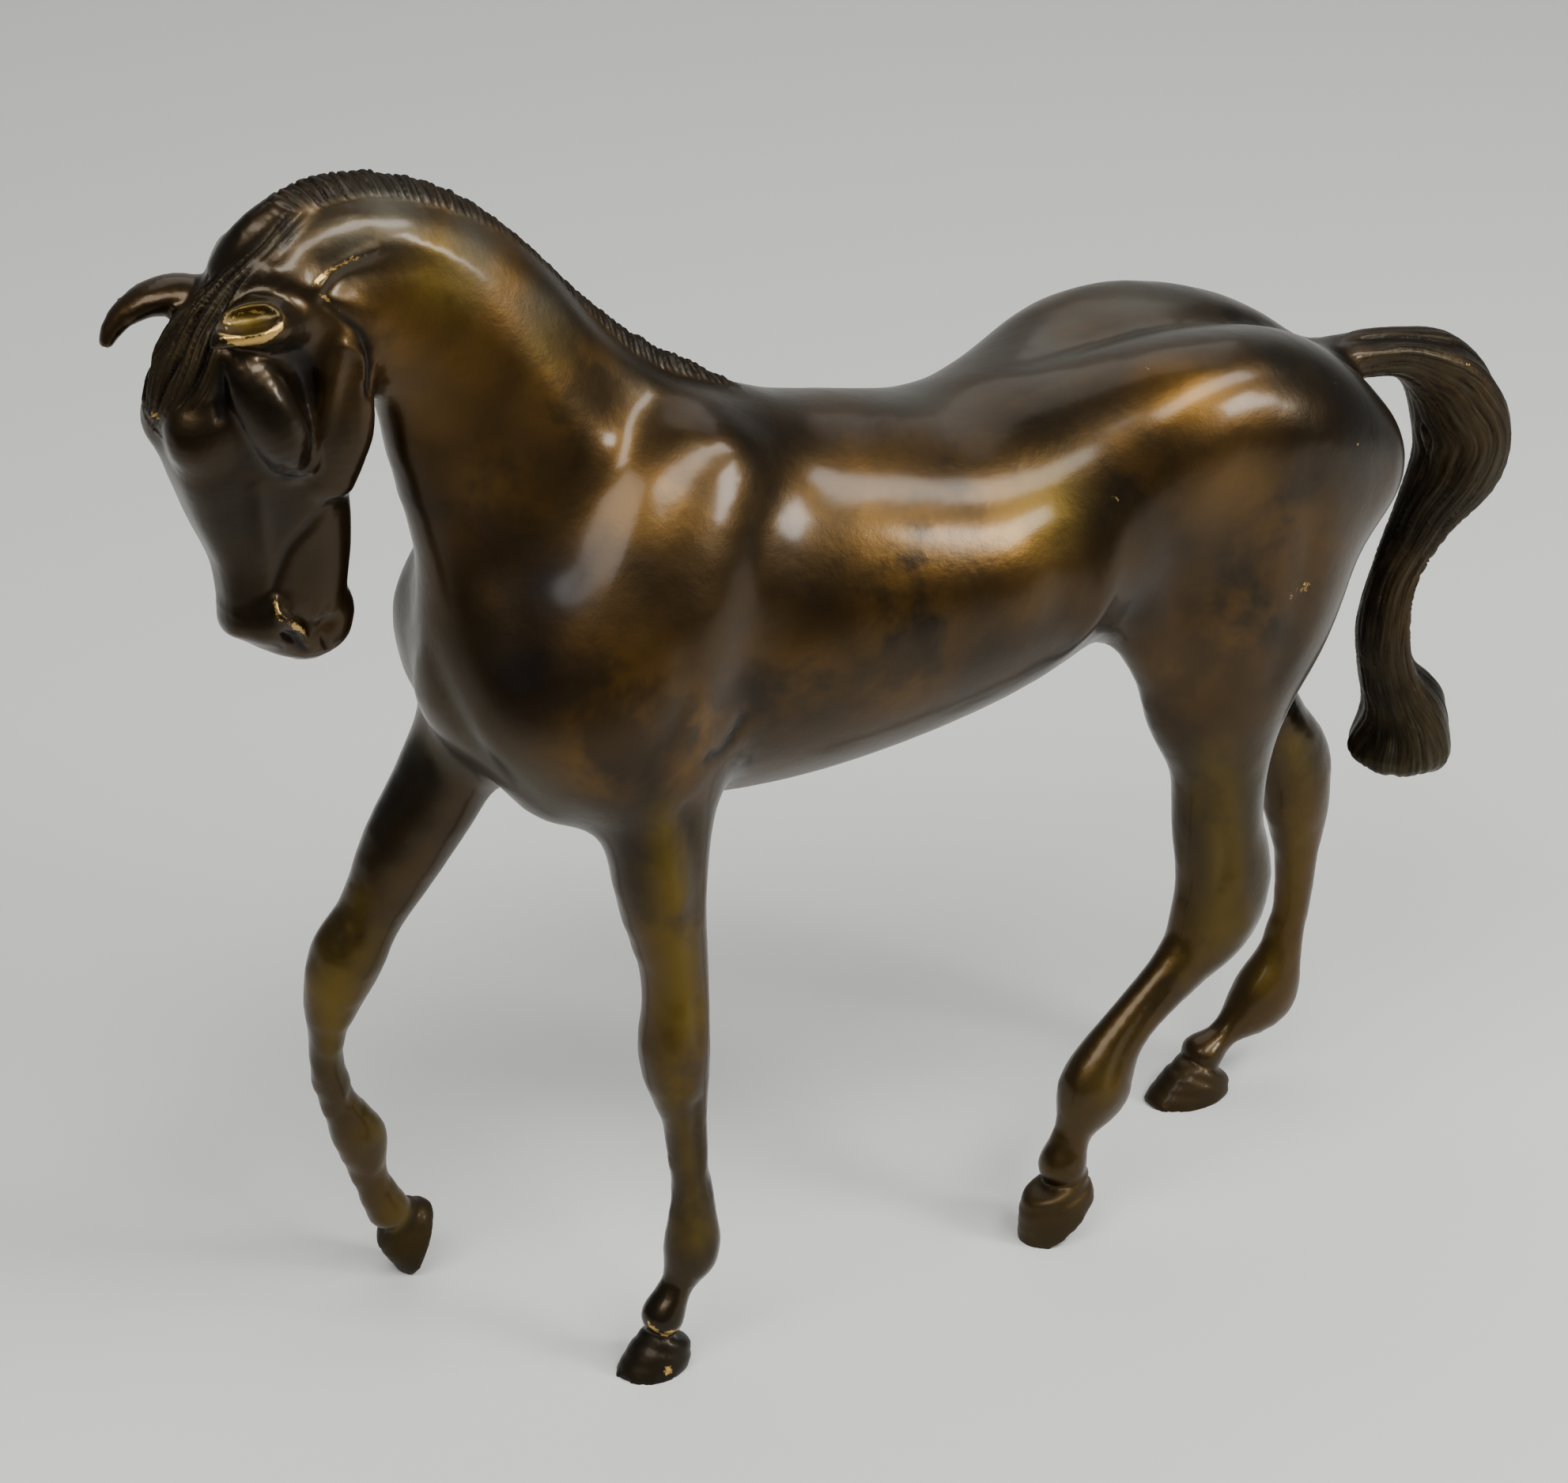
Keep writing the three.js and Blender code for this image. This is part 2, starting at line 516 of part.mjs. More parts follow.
// Thin the skin to a face budget by closing the edges that change its shape least.
function thin(points, faces, budget) {
  const quad = points.map(() => new Float64Array(10));
  const ring = points.map(() => new Set());
  const alive = faces.map(() => true);
  const normal = (f, v, p) => {
    const c = f.map((i) => (i === v ? p : points[i]));
    return cross3(add3(c[1], c[0], -1), add3(c[2], c[0], -1));
  };
  faces.forEach((f, id) => {
    const m = normal(f, -1, null);
    const area = Math.hypot(m[0], m[1], m[2]);
    const u = area > 1e-12 ? m.map((v) => v / area) : [0, 0, 0];
    const d = -dot3(u, points[f[0]]);
    const q = [u[0] * u[0], u[0] * u[1], u[0] * u[2], u[0] * d, u[1] * u[1], u[1] * u[2], u[1] * d,
      u[2] * u[2], u[2] * d, d * d];
    for (const i of f) {
      ring[i].add(id);
      for (let c = 0; c < 10; c++) quad[i][c] += q[c] * area;
    }
  });
  const cost = (q, p) => q[0] * p[0] * p[0] + 2 * q[1] * p[0] * p[1] + 2 * q[2] * p[0] * p[2]
    + 2 * q[3] * p[0] + q[4] * p[1] * p[1] + 2 * q[5] * p[1] * p[2] + 2 * q[6] * p[1]
    + q[7] * p[2] * p[2] + 2 * q[8] * p[2] + q[9];
  const bestPoint = (i, j) => {
    const q = quad[i].map((v, c) => v + quad[j][c]);
    const mid = points[i].map((v, c) => (v + points[j][c]) / 2);
    const len2 = points[i].reduce((s, v, c) => s + (v - points[j][c]) ** 2, 0);
    const lift = 1e-3 * (q[0] + q[4] + q[7]);
    const A = [[q[0] + lift, q[1], q[2]], [q[1], q[4] + lift, q[5]], [q[2], q[5], q[7] + lift]];
    const b = [lift * mid[0] - q[3], lift * mid[1] - q[6], lift * mid[2] - q[8]];
    const cof = [cross3(A[1], A[2]), cross3(A[2], A[0]), cross3(A[0], A[1])];
    const det = dot3(A[0], cof[0]);
    let p = mid;
    if (Math.abs(det) > 1e-14) {
      const s = [0, 1, 2].map((c) => (cof[0][c] * b[0] + cof[1][c] * b[1] + cof[2][c] * b[2]) / det);
      const far2 = s.reduce((t, v, c) => t + (v - mid[c]) ** 2, 0);
      if (far2 < len2 * 1.5) p = s;
    }
    return { p, c: Math.max(cost(q, p), 0) + 2e-4 * len2 * len2 };
  };
  const stamp = new Uint32Array(points.length);
  const heap = [];
  const push = (e) => {
    let i = heap.push(e) - 1;
    while (i > 0) {
      const up = (i - 1) >> 1;
      if (heap[up].c <= heap[i].c) break;
      [heap[up], heap[i]] = [heap[i], heap[up]];
      i = up;
    }
  };
  const pop = () => {
    const top = heap[0];
    const last = heap.pop();
    if (heap.length) {
      heap[0] = last;
      let i = 0;
      for (;;) {
        let m = i;
        for (const c of [2 * i + 1, 2 * i + 2]) if (c < heap.length && heap[c].c < heap[m].c) m = c;
        if (m === i) break;
        [heap[m], heap[i]] = [heap[i], heap[m]];
        i = m;
      }
    }
    return top;
  };
  const offer = (i, j) => {
    const b = bestPoint(i, j);
    push({ i, j, p: b.p, c: b.c, si: stamp[i], sj: stamp[j] });
  };
  faces.forEach((f) => {
    for (let c = 0; c < 3; c++) if (f[c] < f[(c + 1) % 3]) offer(f[c], f[(c + 1) % 3]);
  });
  const near = (i) => {
    const s = new Set();
    for (const id of ring[i]) for (const v of faces[id]) if (v !== i) s.add(v);
    return s;
  };
  let left = faces.length;
  while (left > budget && heap.length) {
    const e = pop();
    const { i, j, p } = e;
    if (e.si !== stamp[i] || e.sj !== stamp[j]) continue;
    const ni = near(i);
    const nj = near(j);
    if (!ni.has(j)) continue;
    let shared = 0;
    for (const v of ni) if (nj.has(v)) shared++;
    if (shared !== 2) continue;
    let folds = false;
    for (const [a, b] of [[i, j], [j, i]]) {
      for (const id of ring[a]) {
        if (faces[id].includes(b)) continue;
        const old = normal(faces[id], -1, null);
        const now = normal(faces[id], a, p);
        const lens = Math.hypot(...old) * Math.hypot(...now);
        if (dot3(old, now) < 0.3 * lens || Math.hypot(...now) < 1e-3) {
          folds = true;
          break;
        }
      }
      if (folds) break;
    }
    if (folds) continue;
    points[i] = p;
    quad[i] = quad[i].map((v, c) => v + quad[j][c]);
    for (const id of ring[j]) {
      if (faces[id].includes(i)) {
        alive[id] = false;
        left--;
        for (const v of faces[id]) if (v !== j) ring[v].delete(id);
      } else {
        faces[id] = faces[id].map((v) => (v === j ? i : v));
        ring[i].add(id);
      }
    }
    ring[j].clear();
    stamp[i]++;
    stamp[j]++;
    for (const v of near(i)) offer(i, v);
  }
  const index = new Map();
  const outPoints = [];
  const outFaces = [];
  faces.forEach((f, id) => {
    if (!alive[id]) return;
    outFaces.push(f.map((v) => {
      if (!index.has(v)) {
        index.set(v, outPoints.length);
        outPoints.push(points[v]);
      }
      return index.get(v);
    }));
  });
  return { points: outPoints, faces: outFaces };
}

const skin = traceSkin(CELL);
settle(skin.points, 2);
const lean = thin(skin.points, skin.faces, FACE_BUDGET);

const wasm = await Module();
wasm.setup();
const solid = new wasm.Manifold(new wasm.Mesh({
  numProp: 3,
  vertProperties: Float32Array.from(lean.points.flat()),
  triVerts: Uint32Array.from(lean.faces.flat()),
}));

// The ground the soles are cut level against.
const ground = new THREE.BoxGeometry(...GROUND);
ground.translate(0, 0, FLOOR_Z - GROUND[2] / 2);
ground.deleteAttribute("normal");
ground.deleteAttribute("uv");
const groundPoints = [];
const groundFaces = [];
{
  const known = new Map();
  const pos = ground.getAttribute("position");
  const idx = [];
  for (let i = 0; i < pos.count; i++) {
    const key = [pos.getX(i), pos.getY(i), pos.getZ(i)].join();
    if (!known.has(key)) {
      known.set(key, groundPoints.length / 3);
      groundPoints.push(pos.getX(i), pos.getY(i), pos.getZ(i));
    }
    idx.push(known.get(key));
  }
  for (const i of ground.index.array) groundFaces.push(idx[i]);
}
const groundSolid = new wasm.Manifold(new wasm.Mesh({
  numProp: 3,
  vertProperties: Float32Array.from(groundPoints),
  triVerts: Uint32Array.from(groundFaces),
}));
const cut = solid.subtract(groundSolid).getMesh();

const geometry = new THREE.BufferGeometry();
geometry.setAttribute("position", new THREE.BufferAttribute(Float32Array.from(cut.vertProperties), 3));
geometry.setIndex(new THREE.BufferAttribute(Uint32Array.from(cut.triVerts), 1));
geometry.computeBoundingBox();
const bb = geometry.boundingBox.clone();
geometry.translate(-(bb.min.x + bb.max.x) / 2, -(bb.min.y + bb.max.y) / 2, -bb.min.z);
geometry.computeVertexNormals();

const bronze = new THREE.MeshStandardMaterial({ color: 0x4a3220, metalness: 0.9, roughness: 0.35 });
const horse = new THREE.Mesh(geometry, bronze);
horse.name = "horse";
const group = new THREE.Group();
group.name = "walking_horse";
group.add(horse);
export default group;
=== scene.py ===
"""Walking horse, a small cast bronze, dressed over its CAD solid.

The figure is worked the way the clay was: masses melt into one another, their common skin is
traced, and the chisel work (mane, forelock, tail locks, lids, creases, tendons) is raised or cut on
that skin. Modelling sizes are millimetres with +Z up, the horse facing -X with its left side to -Y.
"""
import math
from concurrent.futures import ThreadPoolExecutor

import bpy
import numpy as np
from bpy.props import FloatProperty, FloatVectorProperty, IntProperty, PointerProperty
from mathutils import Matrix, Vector


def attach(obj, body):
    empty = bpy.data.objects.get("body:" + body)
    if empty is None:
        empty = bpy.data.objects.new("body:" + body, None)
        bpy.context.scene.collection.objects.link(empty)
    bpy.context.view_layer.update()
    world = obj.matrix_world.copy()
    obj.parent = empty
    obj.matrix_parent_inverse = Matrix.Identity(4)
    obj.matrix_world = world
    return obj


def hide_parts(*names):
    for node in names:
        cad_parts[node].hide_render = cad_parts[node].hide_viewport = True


bl_info = {
    "name": "Walking horse bronze",
    "version": (1, 0, 0),
    "blender": (4, 5, 0),
    "location": "View3D > Sidebar > Bronze",
    "description": "Casts a small bronze of a walking horse and sets it on a studio floor",
    "category": "Add Mesh",
}

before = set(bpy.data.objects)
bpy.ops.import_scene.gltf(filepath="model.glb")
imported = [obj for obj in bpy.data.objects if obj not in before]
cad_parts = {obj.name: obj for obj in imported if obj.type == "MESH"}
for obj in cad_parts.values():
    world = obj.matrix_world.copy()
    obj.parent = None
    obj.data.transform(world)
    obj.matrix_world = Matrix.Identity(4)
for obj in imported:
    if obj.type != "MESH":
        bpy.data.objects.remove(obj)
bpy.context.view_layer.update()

MM = 0.001
FAR = 1e9
TINY = 1e-6
SOLE_CUT = 2.0  # height at which the soles are level, in the modelling frame
PLACE = (5.15, 4.61, SOLE_CUT)  # modelling point that stands at the part's origin, mm

# The clay
ROW_STEPS = 5  # smooth steps between two sections of a mass
REACH = 15.0  # how far from its own skin a mass still counts
HOOF_SLOPE = 0.35  # fall of the coronet toward the heel
HOOF_LEAN = 0.5  # how far the front wall runs back as it rises
HOOF_TAPER = 0.022  # narrowing of a hoof per mm of height
GROIN = ((62, 0, 142), (16, 40, 14), 3)  # hollow between the hind legs: middle, reach and depth

# Tracing the skin
ROOM = ((-172.0, -52.0, -14.0), (182.0, 62.0, 288.0))  # the box that is searched for the skin
BLOCK = 11.0  # side of the cubes in which points are worked together
KEY_SIDE = 256  # more cubes than stand in a row
CHUNK = 2000  # most points worked at once
THREADS = 4
COARSE = 4  # cells along the side of one coarse cell
CLOSE = 1.15  # a coarse cell this many of its sides from the skin is sampled finely
UNTANGLE_ROUNDS = 30
PROBE = 0.08  # step over which the slope of the field is taken
RUB = (0.5, -0.52)  # shares of the inward and outward step of one round of polishing
REFINE_ROUNDS = 3

# Heights of the legs and feet, where the tail and the face begin as [x, z], and the longest edges, mm
LEG_TOP, FOOT_TOP, TAIL_FROM, FACE_FROM = 112, 22, (124, 82), (-112, 178)
BODY_EDGE, LEG_EDGE, FOOT_EDGE, TAIL_HAIR_EDGE, FACE_EDGE, HAIR_EDGE = 9.0, 1.9, 1.3, 1.12, 0.95, 0.62

# The chisel
PATH_STEPS = 6  # smooth steps between two rows of a path
PATH_PAD = 2.6  # half widths beyond which a path isn't felt
FINE_STROKE = 2.5  # a stroke narrower than this also gathers dark or bright patina
MIDDLE = 5  # a spot nearer than this to the middle plane isn't mirrored
HAIR_GAP = 1.2  # skin this near to a mass of hair belongs to it
LOCK_FADE = (0.1, 1.5)  # gap to the mane or forelock over which their carving fades out
TAIL_FADE = (0.5, 2.5)  # the same for the tail
MANE_LEAN = 1.9  # how far the cuts of the mane lean back from its top to its foot, mm
RIDGE_AT, TROUGH_AT = 2.05, 2.6  # where round the tail its sharp ridge and the hollow beside it lie
MANE_END = (-131, -124)  # where the mane runs out into the forelock, along X
MANE_BOX = ([-142, -14, 205], [-22, 14, 290])
FORELOCK_BOX = ([-160, -20, 224], [-116, 14, 276])
TAIL_BOX = ([116, -20, 80], [182, 20, 212])
HOOF_ROOM = 22  # how far from the middle of its sole a hoof is searched for

# Noises of the patina: features per metre, octaves, roughness and distortion.
NOISES = {
    "cloud": (16.0, 4.0, 0.6, 0.4),
    "marbling": (26.0, 5.0, 0.65, 0.25),
    "blotch": (42.0, 4.0, 0.6, 0.15),
    "hammer": (90.0, 2.0, 0.5),
    "speck": (260.0, 3.0, 0.7),
    "dimple": (420.0, 4.0, 0.65),
    "grain": (1100.0, 2.0, 0.6),
}
# Blotch values between which a patch of the patina or of the painted sheen sets in.
BROKEN_UP = {"amber": (0.38, 0.56), "olive": (0.25, 0.55), "painted_sheen": (0.2, 0.6)}

# The stage, in metres
PHOTO_AZIMUTH = -29  # degrees by which the floor is turned to face the camera
FLOOR_HALF, FLOOR_FRONT, FLOOR_BACK, FLOOR_RISE = 3.0, 3.0, 2.2, 2.5  # to the sides, front, back and up
BEND, BEND_STEPS = 0.9, 24  # radius of the bend where the floor turns up, and its points
PAPER_FADE = (-0.5, -0.12)  # depths between which the dark strip turns into pale floor
SKY = ((0.9, 0.92, 0.95, 1), 0.24)  # colour and strength of the light from all round
# Name, place, size, the point it is turned to, and power in watts.
LAMPS = [
    ("key", (-0.85, -0.62, 1.25), (1.1, 0.7), (0, 0, 0.13), 20.0),
    ("side", (0.80, -0.95, 0.72), (0.32, 0.32), (0, 0, 0.13), 11.0),
    ("front", (0.42, -0.77, 1.24), (1.3, 0.30), (0, 0, 0.13), 22.0),
    ("back", (0.45, 0.80, 1.35), (1.4, 1.4), (0.46, 0.82, 0), 9.5),
]

# The camera, in the modelling frame
CAMERA_AT = (-435.1, -754.3, 531.3)
CAMERA_AIM = (-17, 0, 132.8)
IMAGE_WIDTH = 1983
FOCAL_PX = 5609
SENSOR_MM = 36.0
CAMERA_REACH = 20  # metres

# Every row of a mass is [x, y, z, half width sideways, reach in front, reach behind].
# A mass that runs down has its front toward -X. One that runs toward the head has it upward.
TRUNK = [
    [116, 0, 180, 15, 14, 20], [98, 0, 179, 27, 27, 30], [76, 0, 178, 32, 33.5, 25],
    [50, 0, 175, 34, 34.5, 28.5], [18, 0, 170, 37.5, 35.5, 34.8], [-16, 0, 170, 36.5, 41, 41.5],
    [-46, 0, 171, 31, 45, 42.5], [-70, 0, 168, 26, 32, 36], [-86, 0, 162, 15, 18, 22],
]
NECK = [
    [-48, 0, 177, 25, 27, 36], [-63, 0, 196, 21.5, 22.5, 36.5], [-77, 0, 218, 17, 19, 30],
    [-91, 0, 238, 14.2, 19.5, 21], [-110, 0, 250, 12.2, 17.5, 16], [-126, 0, 251, 11.2, 15, 13],
]
CREST = [
    [-30, 0, 208, 8, 4, 12], [-50, 0, 219, 8.5, 5, 14], [-66, 0, 232, 9, 5.2, 15],
    [-82, 0, 247.5, 9, 6, 14], [-98, 0, 259, 9, 6.2, 12], [-116, 0, 264, 9, 6.4, 10],
    [-131, 0, 259, 8.5, 5.6, 8],
]
HEAD = [
    [-123, 0, 251, 10.5, 15, 11], [-129, 0, 241, 12, 19.4, 15], [-133, 0, 229, 12.2, 20.4, 16.6],
    [-132.5, 0, 216, 10, 17.6, 15.8], [-130.5, 0, 203, 8, 14.4, 14.4],
    [-129.4, 0, 193.6, 7.2, 14, 12.4], [-129, 0, 188, 6.8, 13.8, 10.6],
]
NEAR_FORE = [
    [-60, -17, 162, 13, 20, 20], [-60, -20, 144, 12, 14, 16], [-60, -22, 130, 10.5, 10.5, 12.5],
    [-59, -22.5, 116, 8.8, 9, 10], [-56.5, -22.5, 100, 7.2, 6.9, 8], [-55.7, -22.5, 90, 6.9, 6.9, 7.4],
    [-56, -22.5, 80, 7.6, 7.9, 7.6], [-55.5, -22.5, 71, 6.6, 6.4, 6.9], [-54, -22.5, 62, 4.8, 4.7, 5.2],
    [-52.6, -22.5, 47, 4.2, 4.2, 4.7], [-52.2, -22.5, 37, 4.6, 5.2, 5.8],
    [-52.8, -22.5, 29, 5.6, 6, 6.9], [-56.2, -22.6, 21.5, 3.8, 3.2, 3.8], [-60, -22.8, 14.5, 5, 4.4, 5],
]
FAR_FORE = [
    [-75, 18, 186, 9, 13, 14], [-81, 20.5, 171, 11.5, 15.2, 16], [-80, 21, 152, 11.5, 9.6, 15],
    [-86, 22, 133, 10.2, 10.6, 10.5], [-94.5, 24.5, 116, 8.6, 10.6, 8.6],
    [-103, 27, 101, 7.2, 7.2, 7.2], [-108, 28.5, 91, 7.6, 8.6, 7.8], [-111, 30.5, 81, 6.4, 6.4, 6],
    [-112.4, 32, 71, 4.6, 4, 3.6], [-111.4, 34, 61, 4, 4.2, 4], [-108, 35.3, 51, 4.2, 4.8, 4],
    [-104, 36.3, 42, 5.4, 6, 6], [-100.8, 37.6, 31, 3.8, 5, 3.2], [-96.8, 38.8, 20, 5, 5, 5],
]
NEAR_HIND = [
    [90, -15, 188, 19, 24, 22], [89, -17.5, 170, 18.5, 31, 28], [86.5, -19, 150, 16.5, 36.4, 24],
    [83.5, -19.5, 132, 13, 23, 17], [83.5, -19, 115, 10, 12.6, 11.8], [84.5, -18.5, 98, 8.8, 11.5, 10],
    [87, -18.5, 84, 8.2, 12.8, 10.8], [84.5, -18.5, 73, 7.6, 12, 9.6], [76, -18.5, 63, 5.8, 8, 5.4],
    [64, -18.3, 53, 5, 6.4, 4.8], [57, -18, 45, 5.8, 7.2, 7], [52.8, -18, 37.5, 6.8, 8.2, 9.2],
    [48.6, -17.6, 28, 4.4, 4.6, 4.2], [46, -17.3, 19.5, 5.6, 5.6, 5.6],
]
FAR_HIND = [
    [92, 15, 188, 19, 24, 22], [96, 17.5, 170, 18, 26, 27], [101, 18, 150, 15, 22, 20],
    [109, 19, 132, 11.5, 14, 12.5], [117.5, 20, 115, 8.6, 10, 8.4], [125.5, 20.5, 100, 7.4, 8.4, 7.6],
    [132, 21, 87, 7.2, 8.6, 9.8], [133.5, 21, 75, 6.8, 7.6, 9.2], [133.8, 21, 63, 5.2, 4.4, 7.2],
    [133.8, 21, 49, 4.4, 3.4, 5.6], [132, 21.3, 35, 4.9, 5.6, 5.2], [127.2, 21.5, 24.5, 6.8, 7.4, 9],
    [117, 21.8, 17, 3.6, 2.8, 4.4], [110.5, 22, 12.5, 5.4, 4.4, 5.8],
]
TAIL = [
    [116, 0, 195, 7, 5.4, 5.4], [129, 0, 195.5, 6.5, 5.4, 5], [141, 0, 194, 7.6, 5.8, 5.2],
    [151.5, 0, 189, 9.8, 9, 7.4], [158.6, 0, 178, 11.8, 11, 9.4], [158.8, 0, 165, 12, 9.2, 8.8],
    [150.4, 0, 152, 8, 6.6, 4.2], [144, 0, 140, 5.8, 6, 3.6], [140.8, 0, 127, 6.8, 5.8, 5.6],
    [142.5, 0, 114.5, 8, 5.4, 7.4], [146.2, 0, 104, 11, 6.2, 12.4], [146.8, 0, 94.6, 12.4, 11, 12.6],
]
MANE = [
    [-28, 0, 212, 2, 3.6, 6], [-36, 0, 217.2, 2.4, 4, 6], [-52, 0, 226.2, 2.8, 4.6, 6],
    [-67, 0, 238.4, 3.2, 5, 6], [-83, 0, 254.6, 3.4, 5.4, 6], [-99, 0, 265.6, 3.8, 5.4, 6],
    [-117, 0, 269.2, 4.2, 5.4, 6], [-131, 0, 265, 4.4, 4.8, 6], [-138, 0, 258.5, 4.4, 3.4, 5],
]
LIPS = [
    [-138.6, 0, 187.4, 5.4, 4.4, 4.8], [-132.4, 0, 184.4, 6.4, 5.6, 5.6], [-126, 0, 181.6, 6, 5.8, 5.4],
    [-121.6, 0, 181.6, 4.8, 4.8, 4.4],
]
FORELOCK = [
    [-123, -2.6, 268.6, 3, 2.8, 4], [-129, -4.8, 264.6, 2.8, 2.8, 4], [-134, -6, 260.6, 2.8, 2.8, 4],
    [-138.8, -5, 256.6, 3.4, 2.8, 4], [-143, -3.6, 252, 5.6, 2.8, 4],
    [-146.6, -2.6, 246.2, 7.8, 2.9, 4.5], [-149.4, -2.2, 240.6, 8.2, 3, 4.5],
    [-151.4, -1.2, 235.8, 7, 2.8, 4.5], [-152.9, 0.6, 232, 5.4, 1.4, 3],
]
FAR_EAR = [
    [-136, 9, 247.5, 5, 4.6, 4.6], [-143, 11.5, 251.5, 5.4, 3.8, 4.4], [-150, 13, 251, 4.8, 3, 3.4],
    [-155.5, 14, 247.5, 3, 2.4, 2.4], [-158.2, 14.3, 243.5, 1.9, 1.5, 1.6],
]
NEAR_EAR = [
    [-129, -8, 249, 5, 5, 5], [-136, -12.5, 251.5, 6, 4.8, 4.6], [-142.5, -15.5, 252.3, 4.8, 3.8, 3.4],
    [-148, -18, 251.5, 1.8, 1.6, 1.4],
]
EYE = [
    [-141, 9, 244, 5, 4.8, 4.8], [-137.5, 10.6, 237.4, 7, 6.6, 6.2],
    [-133.6, 11.2, 229.4, 6.8, 6.6, 5.8], [-130.8, 10, 222.6, 4.2, 4.2, 3.8],
]
CHEEK = [
    [-119.4, 7.6, 243, 4.6, 7.6, 5.4], [-119.4, 8.4, 234, 5.4, 8, 6], [-119.6, 8.4, 226, 5.4, 7.2, 6],
    [-121.6, 7.4, 217, 4.4, 6.4, 4.6],
]
FOREARM_POINT = [
    [-66, -19, 176, 11, 16, 14], [-72, -21, 162, 11, 14, 14], [-62, -21.5, 148, 11, 13, 13],
]
CHEST_MUSCLE = [
    [-78, 12, 178, 11, 14, 14], [-83, 13, 161, 13, 12.5, 14], [-75, 12, 145, 11, 11, 12],
]
SHOULDER = [
    [-44, 17, 206, 8, 11, 11], [-55, 22, 189, 11, 15, 15], [-68, 24.5, 169, 12.5, 17, 16],
    [-66, 23, 152, 11.5, 16, 16],
]
HIP = [
    [50, 16, 188, 13, 15, 15], [64, 20.5, 194.5, 15, 18, 17.5], [82, 20.5, 195, 15, 18, 18],
    [99, 18, 187, 16, 18, 17.5], [113, 16.5, 178, 14, 14, 14.5],
]

